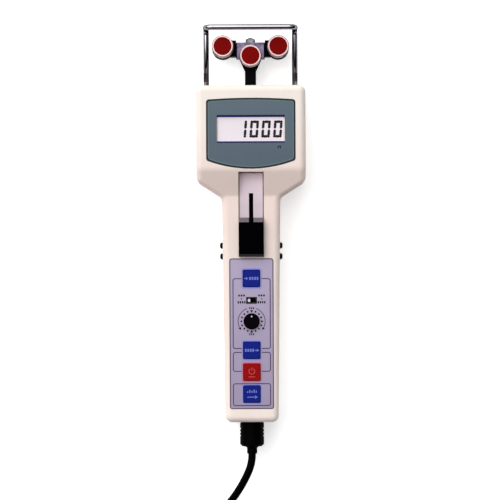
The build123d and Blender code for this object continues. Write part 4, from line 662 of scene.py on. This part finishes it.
def round_corners(bm, corners, radius):
    """Rounds the corners of flat faces."""
    bmesh.ops.bevel(bm, geom=corners, offset=radius, segments=CORNER_STEPS, profile=0.5,
                    affect="VERTICES", material=-1)


def hollow(bm, faces, width):
    """Leaves a border of flat faces."""
    bmesh.ops.inset_region(bm, faces=faces, thickness=width, use_boundary=True,
                           use_even_offset=True)
    bmesh.ops.delete(bm, geom=faces, context="FACES_ONLY")


def band(bm, x0, x1, y0, y1, corner, width):
    """A flat rounded frame of a given line width."""
    drawn = set(bm.faces)
    round_corners(bm, bar(bm, (x0 + x1) / 2, (y0 + y1) / 2, x1 - x0, y1 - y0), corner)
    hollow(bm, [face for face in bm.faces if face not in drawn], width)


def artwork(name, node, finish, draw, *measures, body="housing"):
    """A printed piece: what a function draws, with the thickness of ink, on a node's face."""
    bm = bmesh.new()
    draw(bm, *measures)
    grown = bmesh.ops.extrude_face_region(bm, geom=bm.faces[:])
    bmesh.ops.translate(bm, verts=verts_in(grown["geom"]), vec=(0, 0, PRINT_RISE + PRINT_SUNK))
    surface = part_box(node)[1].z
    bmesh.ops.translate(bm, verts=bm.verts[:], vec=(0, 0, surface - PRINT_SUNK))
    bmesh.ops.recalc_face_normals(bm, faces=bm.faces[:])
    piece(name, bm, finish, body)


# ---- Guard bow -----------------------------------------------------------------------------------
BOW_BEND = 4.0 * MM          # radius of its bends, at the middle of the wire
WIRE_SIDES = 28
BEND_STEPS = 14


def bent_wire(bm, start, radius, moves):
    """A round wire: a ring of edges that runs straight or bends, move by move."""
    place = Matrix.Translation(start) @ Matrix.Rotation(-math.pi / 2, 4, "X")
    bmesh.ops.create_circle(bm, cap_ends=True, segments=WIRE_SIDES, radius=radius, matrix=place)
    ring = bm.edges[:]
    for kind, where, axis in moves:
        if kind == "run":
            grown = bmesh.ops.extrude_edge_only(bm, edges=ring)["geom"]
            moved = verts_in(grown)
            bmesh.ops.translate(bm, verts=moved, vec=where)
            ring = [edge for edge in edges_in(grown) if set(moved).issuperset(edge.verts)]
        else:
            grown = bmesh.ops.spin(bm, geom=ring, cent=where, axis=axis, angle=math.pi / 2,
                                   steps=BEND_STEPS)
            ring = edges_in(grown["geom_last"])
    bmesh.ops.edgeloop_fill(bm, edges=ring)
    bmesh.ops.recalc_face_normals(bm, faces=bm.faces[:])


def guard_bow():
    """The polished wire bow before the rollers: legs, risers and a cross wire, with round bends."""
    low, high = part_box("guard_bow")
    x, y = high.x - BOW_WIRE, high.y - BOW_WIRE
    rear, front = low.z + BOW_WIRE, high.z - BOW_WIRE
    leg, riser = y - BOW_BEND - low.y, front - rear - 2 * BOW_BEND
    moves = [
        ("run", (0, leg, 0), None),
        ("bend", (-x, y - BOW_BEND, rear + BOW_BEND), (1, 0, 0)),
        ("run", (0, 0, riser), None),
        ("bend", (BOW_BEND - x, y, front - BOW_BEND), (0, 1, 0)),
        ("run", (2 * (x - BOW_BEND), 0, 0), None),
        ("bend", (x - BOW_BEND, y, front - BOW_BEND), (0, 1, 0)),
        ("run", (0, 0, -riser), None),
        ("bend", (x, y - BOW_BEND, rear + BOW_BEND), (-1, 0, 0)),
        ("run", (0, -leg, 0), None),
    ]
    bm = bmesh.new()
    bent_wire(bm, (-x, low.y, rear), BOW_WIRE, moves)
    bow = piece("polished_guard_bow", bm, BOW_CHROME, "housing", smooth=True)
    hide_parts("guard_bow")


# ---- Lead ----------------------------------------------------------------------------------------
CORD_RADIUS = 2.5 * MM
TAIL_END = -129.65 * MM      # Y of the housing's tail
LEAD_EXIT = TAIL_END - 21.7 * MM
PLUG_HEIGHT = 16.0 * MM
COIL_X, COIL_Y = 0.0, TAIL_END - 102.0 * MM
COIL_WIDE, COIL_NARROW = 39.1 * MM, 21.0 * MM           # radius of its outer and inner turns
COIL_LOW, COIL_HIGH = 3.3 * MM, 8.3 * MM                # height of its two layers
COIL_JOIN, COIL_LEAVE = math.radians(163), math.radians(256) + 7 * math.tau
CLIMB_START, CLIMB_SHARE = 0.485, 0.03                  # of the coil, from layer to layer
TURN_POINTS = 16
FREE_PLUG_Y, FREE_PLUG_HEIGHT = TAIL_END - 154.3 * MM, 7.9 * MM


def coil_turns():
    """The coil's control points: inwards along the lower layer, then outwards on the upper one."""
    points = []
    sweep = COIL_LEAVE - COIL_JOIN
    count = round(sweep / math.tau * TURN_POINTS)
    for n in range(1, count):
        share = n / count
        outward = abs(2 * share - 1)
        radius = COIL_NARROW + (COIL_WIDE - COIL_NARROW) * outward
        reach = radius / math.cos(math.pi / TURN_POINTS)   # the points stand outside their curve
        angle = COIL_JOIN + sweep * share
        climb = min(1.0, max(0.0, (share - CLIMB_START) / CLIMB_SHARE))
        height = COIL_LOW + (COIL_HIGH - COIL_LOW) * climb
        points.append((COIL_X + reach * math.cos(angle), COIL_Y + reach * math.sin(angle), height))
    return points


def lead():
    """The instrument lead: out of its plug, down to the table, round its coil, to its free plug."""
    out = [
        (0, LEAD_EXIT, PLUG_HEIGHT),
        (0, LEAD_EXIT - 6.5 * MM, PLUG_HEIGHT),
        (-4.8 * MM, LEAD_EXIT - 17.8 * MM, PLUG_HEIGHT - 2.0 * MM),
        (-11.5 * MM, LEAD_EXIT - 29.3 * MM, PLUG_HEIGHT - 7.0 * MM),
        (-20.5 * MM, LEAD_EXIT - 40.8 * MM, CORD_RADIUS + 1.4 * MM),
        (-31.5 * MM, LEAD_EXIT - 52.8 * MM, CORD_RADIUS + 0.3 * MM),
        (COIL_X - 37.7 * MM, COIL_Y + 11.5 * MM, COIL_LOW),
    ]
    away = [
        (COIL_X - 9.5 * MM, COIL_Y - 38.2 * MM, COIL_HIGH),
        (COIL_X + 4.0 * MM, COIL_Y - 44.3 * MM, 7.7 * MM),
        (17.0 * MM, FREE_PLUG_Y, FREE_PLUG_HEIGHT),
        (27.0 * MM, FREE_PLUG_Y, FREE_PLUG_HEIGHT),
    ]
    route = out + coil_turns() + away
    curve = bpy.data.curves.new("instrument_lead", "CURVE")
    curve.dimensions = "3D"
    curve.bevel_depth = CORD_RADIUS
    curve.bevel_resolution = 6
    curve.resolution_u = 10
    curve.use_fill_caps = True
    line = curve.splines.new("NURBS")
    line.points.add(len(route) - 1)
    for point, place in zip(line.points, route):
        point.co = (*place, 1.0)
    line.order_u = 3
    line.use_endpoint_u = True
    curve.materials.append(CORD_SHEATH)
    cord = bpy.data.objects.new("instrument_lead", curve)
    bpy.context.scene.collection.objects.link(cord)
    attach(cord, "housing")
    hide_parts("cord_lead", "cord_coil", "cord_tail")


# ---- Display -------------------------------------------------------------------------------------
SHOWN_FIGURES = "1000"
DIGIT_HEIGHT, DIGIT_WIDTH = 11.1 * MM, 5.6 * MM
DIGIT_STROKE = 1.7 * MM
DIGIT_GAP = 0.12 * MM        # between the bars of a figure
DIGIT_PITCH = 7.65 * MM
DIGIT_SLANT = math.tan(math.radians(4.5))
LAST_DIGIT_X = 17.5 * MM
DIGIT_SEGMENTS = {
    "0": "top upper_left upper_right lower_left lower_right bottom",
    "1": "upper_right lower_right",
}
NAVY_FOOT, NAVY_HEAD = 1.0 * MM, 1.35 * MM              # width of the window's two lines
UNIT_X, UNIT_DROP = 18.4 * MM, 11.9 * MM                # the unit mark, from the window's middle
BEZEL_HEAD_BOW, BEZEL_FOOT_BOW = 1.1 * MM, 5.4 * MM     # how far its edges bow outwards
BEZEL_CORNER = 2.0 * MM
BEZEL_STEPS = 32
# A painted shadow of the gap round the bezel: a dark line at its edge.
GAP_SHADOW_INSET, GAP_SHADOW_WIDTH = 0.15 * MM, 0.85 * MM
# A painted highlight along the bezel's edge, just inside the gap's painted shadow.
HIGHLIGHT_INSET, HIGHLIGHT_WIDTH = 1.0 * MM, 0.6 * MM


def segment(bm, x, y, length, turn):
    """One pointed bar of a figure, along X or turned to run along Y."""
    half, point = DIGIT_STROKE / 2, length / 2
    tips = [(-point, 0), (half - point, half), (point - half, half),
            (point, 0), (point - half, -half), (half - point, -half)]
    place = Matrix.Translation((x, y, 0)) @ Matrix.Rotation(turn, 4, "Z")
    bm.faces.new([bm.verts.new(place @ Vector((u, v, 0))) for u, v in tips])


def figure(bm, x, shape):
    """One seven-bar figure with round ends on its sides, its middle at the origin's height."""
    side = (DIGIT_WIDTH - DIGIT_STROKE) / 2
    level = (DIGIT_HEIGHT - DIGIT_STROKE) / 2
    across = 2 * side - DIGIT_GAP
    upright = level - DIGIT_GAP
    quarter = math.pi / 2
    bars = {
        "top": (x, level, across, 0),
        "bottom": (x, -level, across, 0),
        "upper_left": (x - side, level / 2, upright, quarter),
        "upper_right": (x + side, level / 2, upright, quarter),
        "lower_left": (x - side, -level / 2, upright, quarter),
        "lower_right": (x + side, -level / 2, upright, quarter),
    }
    for name in shape.split():
        segment(bm, *bars[name])
    for u, edge in ((-side, "left"), (side, "right")):
        if edge in shape:
            dot(bm, x + u, -level, DIGIT_STROKE / 2)
            dot(bm, x + u, level, DIGIT_STROKE / 2)


def display_figures(bm):
    """The number on the display, a little slanted."""
    for n, shown in enumerate(reversed(SHOWN_FIGURES)):
        figure(bm, LAST_DIGIT_X - DIGIT_PITCH * n, DIGIT_SEGMENTS[shown])
    shear = Matrix.Identity(4)
    shear[0][1] = DIGIT_SLANT
    bmesh.ops.transform(bm, matrix=shear, verts=bm.verts[:])
    bmesh.ops.translate(bm, verts=bm.verts[:], vec=(0, middle("display_window").y, 0))


def display_lines(bm):
    """The navy lines along the window's lower and upper edges."""
    low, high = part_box("display_window")
    bar(bm, 0, low.y + NAVY_FOOT / 2, high.x - low.x, NAVY_FOOT)
    bar(bm, 0, high.y - NAVY_HEAD / 2, high.x - low.x, NAVY_HEAD)


def unit_mark(bm):
    """Two short strokes joined by a bar, on the bezel beneath the last figure."""
    y = middle("display_window").y - UNIT_DROP
    row(bm, UNIT_X - 0.8 * MM, y, 2, 1.5 * MM, 0.6 * MM, 1.7 * MM)
    bar(bm, UNIT_X + 0.1 * MM, y + 0.6 * MM, 2.1 * MM, 0.5 * MM)


def bezel_line(bm, inset, width):
    """A line that follows the bezel's bowed edge at an inset."""
    low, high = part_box("display_bezel")
    half = (high.x - low.x) / 2 - inset
    head, foot = high.y - BEZEL_HEAD_BOW - inset, low.y + BEZEL_FOOT_BOW + inset
    centre = (head + foot) / 2
    size = Matrix.Diagonal((half, (head - foot) / 2, 1, 1))
    made = bmesh.ops.create_grid(bm, x_segments=BEZEL_STEPS, y_segments=1, size=1,
                                 matrix=Matrix.Translation((0, centre, 0)) @ size)
    for vert in made["verts"]:
        bow = BEZEL_HEAD_BOW if vert.co.y > centre else -BEZEL_FOOT_BOW
        vert.co.y += bow * (1 - (vert.co.x / half) ** 2)
    bmesh.ops.dissolve_faces(bm, faces=bm.faces[:])
    corners = [vert for vert in bm.verts if abs(abs(vert.co.x) - half) < 0.001 * MM]
    round_corners(bm, corners, BEZEL_CORNER)
    hollow(bm, bm.faces[:], width)


# ---- Panel prints --------------------------------------------------------------------------------
PANEL_LEFT, PANEL_RIGHT = -12.3 * MM, 12.4 * MM
PANEL_CORNER = 1.6 * MM
PANEL_LINE = 0.55 * MM
EDGE_LINE = 0.6 * MM
HALO_REACH, HALO_LINE = 5.9 * MM, 0.85 * MM             # of the line round a key
HALO_CORNER = 1.4 * MM
CHANNEL_SHADOW_WIDTH = 0.5 * MM
DIAL_DOTS = 16
DIAL_DOT, DIAL_ARROW = 0.62 * MM, 1.15 * MM
DIAL_RING = 6.7 * MM         # radius of the ring of dots
DIAL_ORBIT = 8.8 * MM        # and of the arcs outside it
DIAL_LINE, DIAL_TIP = 0.4 * MM, 1.1 * MM
DIAL_START, DIAL_END = math.radians(20), math.radians(122)
DIAL_LABELS = (8.6 * MM, -8.4 * MM)                     # Y of the blocks that stand for words
LABEL_BLOCKS, LABEL_PITCH = 3, 1.2 * MM
LABEL_WIDTH, LABEL_HEIGHT = 0.7 * MM, 1.2 * MM
SLOT_X, SLOT_Y = 3.15 * MM, 1.85 * MM                   # half the range lever's slot
SLOT_LINE, SLOT_CORNER = 0.4 * MM, 0.5 * MM
RANGE_ROWS = (               # in MM: first block's X, Y, blocks, pitch, width, height
    (4.9, 3.2, 3, 1.6, 1.1, 1.2),
    (4.4, -1.2, 4, 1.4, 0.9, 1.5),
    (6.6, 1.1, 1, 0, 0.5, 1.1),
)
POINTER_REACH, POINTER_DOT = 3.3 * MM, 0.5 * MM


def group_line(bm, foot, head, half_gap):
    """A rounded line that joins keys into a group, cut away within the gap where a key stands."""
    band(bm, PANEL_LEFT, PANEL_RIGHT, foot, head, PANEL_CORNER, PANEL_LINE)
    if not half_gap:
        return
    for side in (-1, 1):
        geom = bm.verts[:] + bm.edges[:] + bm.faces[:]
        bmesh.ops.bisect_plane(bm, geom=geom, plane_co=(side * half_gap, 0, 0),
                               plane_no=(side, 0, 0))
    inside = [face for face in bm.faces if abs(face.calc_center_median().x) < half_gap]
    bmesh.ops.delete(bm, geom=inside, context="FACES")


def overlay_edge(bm):
    """The dark line round the film."""
    low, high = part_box("control_overlay")
    band(bm, low.x, high.x, low.y, high.y, PANEL_CORNER, EDGE_LINE)


def key_surround(bm, centre):
    """A pale line round a key."""
    outer = HALO_REACH + HALO_LINE
    x, y = centre.x, centre.y
    band(bm, x - outer, x + outer, y - outer, y + outer, HALO_CORNER, HALO_LINE)


def channel_shadow(bm):
    """A painted shadow: the thin dark line where the channel's walls shade the slide plate: left,
    top and right.
    """
    low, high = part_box("slide_plate")
    half = CHANNEL_SHADOW_WIDTH / 2
    bar(bm, 0, high.y - half, high.x - low.x, CHANNEL_SHADOW_WIDTH)
    for x in (low.x + half, high.x - half):
        bar(bm, x, (low.y + high.y) / 2 - half, CHANNEL_SHADOW_WIDTH, high.y - low.y - CHANNEL_SHADOW_WIDTH)


def dial_scale(bm):
    """Dots round the knob, arrows at the top and bottom, and two arrowed arcs outside them."""
    centre = middle("selector_knob")
    quarter = math.pi / 2

    def around(radius, angle):
        return centre.x + radius * math.cos(angle), centre.y + radius * math.sin(angle)

    for n in range(DIAL_DOTS):
        angle = math.tau * n / DIAL_DOTS + quarter
        if n % (DIAL_DOTS // 2):
            dot(bm, *around(DIAL_RING, angle), DIAL_DOT, 12)
        else:
            arrowhead(bm, *around(DIAL_RING, angle), DIAL_ARROW, angle + math.pi)
    for side in (-1, 1):
        start, end = quarter - side * DIAL_START, quarter - side * DIAL_END
        arc(bm, centre.x, centre.y, DIAL_ORBIT, DIAL_LINE, start, end - start)
        arrowhead(bm, *around(DIAL_ORBIT, end), DIAL_TIP, end - side * quarter)
    for rise in DIAL_LABELS:
        row(bm, centre.x - LABEL_PITCH, centre.y + rise, LABEL_BLOCKS, LABEL_PITCH, LABEL_WIDTH,
            LABEL_HEIGHT)


def range_marks(bm):
    """Plain blocks either side of the range lever, and a black frame round its slot."""
    y = middle("range_switch").y
    for side in (-1, 1):
        for start, rise, count, pitch, width, height in RANGE_ROWS:
            row(bm, side * start * MM, y + rise * MM, count, side * pitch * MM, width * MM,
                height * MM)
    half_x, half_y = SLOT_X + SLOT_LINE, SLOT_Y + SLOT_LINE
    band(bm, -half_x, half_x, y - half_y, y + half_y, SLOT_CORNER, SLOT_LINE)


def knob_pointer(bm):
    """The white dot on the knob."""
    centre = middle("selector_knob")
    dot(bm, centre.x, centre.y + POINTER_REACH, POINTER_DOT)


# ---- Key marks -----------------------------------------------------------------------------------
SHAFT_LINE = 0.6 * MM        # thickness of an arrow's shaft
CELLS, CELL_PITCH = 4, 1.6 * MM
CELL_WIDTH, CELL_HEIGHT = 1.1 * MM, 1.9 * MM
RING_Y, RING_RADIUS = 0.7 * MM, 1.9 * MM
RING_START, RING_SWEEP = math.radians(125), math.radians(290)
STEM_Y, STEM_LENGTH = 2.0 * MM, 2.2 * MM
UNDERLINE_Y, UNDERLINE_LENGTH = -3.0 * MM, 4.4 * MM
POWER_LINE = 0.5 * MM
TRACE_START, TRACE_PITCH, TRACE_FOOT, TRACE_WIDTH = -2.8 * MM, 1.4 * MM, 0.9 * MM, 0.8 * MM
TRACE_HEIGHTS = (1.0 * MM, 1.9 * MM, 1.3 * MM, 2.1 * MM, 1.5 * MM)


def arrow(bm, x, y=0.0, length=1.2 * MM, reach=0.6 * MM, tip=1.1 * MM):
    """An arrow along +X, from the middle of its shaft. Its tip's middle lies a reach beyond."""
    bar(bm, x, y, length, SHAFT_LINE)
    arrowhead(bm, x + length / 2 + reach, y, tip, 0)


def cells(bm, x):
    """A row of memory cells, from the middle of the first one."""
    row(bm, x, 0, CELLS, CELL_PITCH, CELL_WIDTH, CELL_HEIGHT)


def memory_mark(bm):
    """An arrow that points into a row of cells."""
    arrow(bm, -4.2 * MM)
    cells(bm, -0.9 * MM)


def recall_mark(bm):
    """An arrow that points out of a row of cells."""
    cells(bm, -3.9 * MM)
    arrow(bm, 2.6 * MM)


def power_mark(bm):
    """A broken ring with an upright bar, over a short line."""
    arc(bm, 0, RING_Y, RING_RADIUS, POWER_LINE, RING_START, RING_SWEEP)
    bar(bm, 0, STEM_Y, POWER_LINE, STEM_LENGTH)
    bar(bm, 0, UNDERLINE_Y, UNDERLINE_LENGTH, POWER_LINE)


def output_mark(bm):
    """A plotted trace over an arrow that points away."""
    for n, height in enumerate(TRACE_HEIGHTS):
        bar(bm, TRACE_START + TRACE_PITCH * n, TRACE_FOOT + height / 2, TRACE_WIDTH, height)
    arrow(bm, -0.7 * MM, -1.9 * MM, 4.6 * MM, 1.0 * MM, 1.3 * MM)


def key_mark(bm, centre, mark):
    """A mark on a key, drawn round the key's middle."""
    mark(bm)
    bmesh.ops.translate(bm, verts=bm.verts[:], vec=(centre.x, centre.y, 0))


# ---- Stage, light and camera ---------------------------------------------------------------------
FLOOR_SIZE = 3
FLOOR_SEEN, FLOOR_MIRRORED = 0.52, 0.2   # glow for the camera and glass, and in polished metal
SKY_LIGHT = 0.42                         # of the sky on dull surfaces, against its mirror image
BRIGHT_SIDE = (-0.29, 0.71, 0.64)
WINDOW_PLACE, WINDOW_SIZE, WINDOW_WATTS = (-0.95, 1.2, 1.85), 3.2, 77.0
CAMERA_PLACE = (-0.85 * MM, -17.37 * MM, 1.1)
CAMERA_TURN = math.radians(-0.25)
CAMERA_LENS, CAMERA_SENSOR = 118.4, 36


def stage():
    """A pale floor that shows white where nothing shades it, in polished metal and glass too."""
    plain = {"Base Color": (0.9, 0.9, 0.9, 1), "Roughness": 0.9, "Specular IOR Level": 0.1,
             "Emission Color": (1, 1, 1, 1)}
    finish = Finish("pale floor", plain)
    seen = finish.ray("Is Camera Ray") + finish.ray("Is Transmission Ray")
    glow = seen * FLOOR_SEEN + finish.ray("Is Glossy Ray") * FLOOR_MIRRORED
    finish.feed(finish.shader.inputs["Emission Strength"], glow)
    bm = bmesh.new()
    bmesh.ops.create_grid(bm, x_segments=1, y_segments=1, size=FLOOR_SIZE)
    mesh = bpy.data.meshes.new("floor")
    bm.to_mesh(mesh)
    bm.free()
    mesh.materials.append(finish.material)
    floor = bpy.data.objects.new("floor", mesh)
    bpy.context.scene.collection.objects.link(floor)


def sky():
    """A white studio sky. Metal mirrors it bright on the window's side and dark at the horizon."""
    world = bpy.data.worlds.new("studio")
    world.use_nodes = True
    bpy.context.scene.world = world
    shading = Shading(world.node_tree)
    looking = shading.node("ShaderNodeTexCoord", {}, {}, "Generated")
    height = shading.node("ShaderNodeSeparateXYZ", {}, {"Vector": looking}, "Z")
    sides = {0: looking, 1: BRIGHT_SIDE}
    facing = shading.node("ShaderNodeVectorMath", {"operation": "DOT_PRODUCT"}, sides, "Value")
    bright_side = (facing * 2.2 - 0.5).clamp(0.02, 1.0)
    overhead = (height * 2.2 - 0.4).clamp(0.05, 1.0)
    image = bright_side * overhead
    glow = (facing * 0.7 + 0.55).clamp(0.1, 1.0) * SKY_LIGHT
    seen = shading.ray("Is Camera Ray") + shading.ray("Is Transmission Ray")
    mirrored = shading.ray("Is Glossy Ray")
    strength = seen + (1 - seen) * (mirrored * image + (1 - mirrored) * glow)
    background = world.node_tree.nodes["Background"]
    shading.feed(background.inputs["Color"], (1, 1, 1, 1))
    shading.feed(background.inputs["Strength"], strength)


def window_lamp():
    """A soft square lamp that faces the gauge."""
    light = bpy.data.lights.new("window lamp", "AREA")
    light.shape = "SQUARE"
    light.size = WINDOW_SIZE
    light.energy = WINDOW_WATTS
    made = bpy.data.objects.new("window lamp", light)
    made.location = WINDOW_PLACE
    made.rotation_euler = (-Vector(WINDOW_PLACE)).to_track_quat("-Z", "Y").to_euler()
    bpy.context.scene.collection.objects.link(made)


def camera():
    """A camera high above the gauge that looks straight down."""
    data = bpy.data.cameras.new("camera")
    data.sensor_width = CAMERA_SENSOR
    data.lens = CAMERA_LENS
    made = bpy.data.objects.new("camera", data)
    made.location = CAMERA_PLACE
    made.rotation_euler = (0, 0, CAMERA_TURN)
    bpy.context.scene.collection.objects.link(made)
    bpy.context.scene.camera = made


# ---- The pieces and their setting ----------------------------------------------------------------
KEYS = {                     # what each rides on, its surround's and its mark's ink, and its mark
    "memory_key": ("memory_button", INK_HALO_BLUE, INK_KEY_BLUE, memory_mark),
    "recall_key": ("recall_button", INK_HALO_BLUE, INK_KEY_BLUE, recall_mark),
    "power_key": ("power_button", INK_HALO_RED, INK_KEY_RED, power_mark),
    "output_key": ("output_button", INK_HALO_BLUE, INK_KEY_BLUE, output_mark),
}
guard_bow()
lead()
artwork("display_figures", "lcd_panel", INK_SEGMENT, display_figures)
artwork("display_lines", "display_window", INK_NAVY, display_lines)
artwork("unit_mark", "display_bezel", INK_DARK_PRINT_AND_GAP_SHADOW, unit_mark)
# Painted shadow of the gap round the bezel.
artwork("bezel_gap_shadow", "display_bezel", INK_DARK_PRINT_AND_GAP_SHADOW, bezel_line, GAP_SHADOW_INSET, GAP_SHADOW_WIDTH)
# Painted highlight along the bezel's edge.
artwork("bezel_edge_highlight", "display_bezel", INK_BEZEL_EDGE_HIGHLIGHT, bezel_line, HIGHLIGHT_INSET, HIGHLIGHT_WIDTH)
low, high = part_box("memory_key")
half_key = (high.x - low.x) / 2
memory, recall, power, output = (middle(key).y for key in KEYS)
for group, foot, head, half_gap in (
        ("measuring_group_line", recall + 0.9 * MM, memory + 0.1 * MM, half_key),
        ("power_group_line", power + 0.3 * MM, recall - 1.1 * MM, half_key),
        ("output_group_line", output - 7.7 * MM, output + 7.0 * MM, 0)):
    artwork(group, "control_overlay", INK_PLUM, group_line, foot, head, half_gap)
artwork("overlay_edge_line", "control_overlay", INK_EDGE, overlay_edge)
for key, (button, halo, mark, draw) in KEYS.items():
    artwork(key + "_surround", "control_overlay", halo, key_surround, middle(key))
# Painted shadow where the channel's walls shade the slide plate.
artwork("channel_shadow_line", "slide_plate", INK_CHANNEL_SHADOW, channel_shadow)
artwork("dial_scale", "control_overlay", INK_SEGMENT, dial_scale)
artwork("range_marks", "control_overlay", INK_SEGMENT, range_marks)
artwork("knob_pointer", "selector_knob", INK_WHITE, knob_pointer, body="selector")
for key, (button, halo, mark, draw) in KEYS.items():
    artwork(key + "_mark", key, mark, key_mark, middle(key), draw, body=button)
stage()
sky()
window_lamp()
camera()

bpy.context.scene.view_settings.view_transform = "Standard"
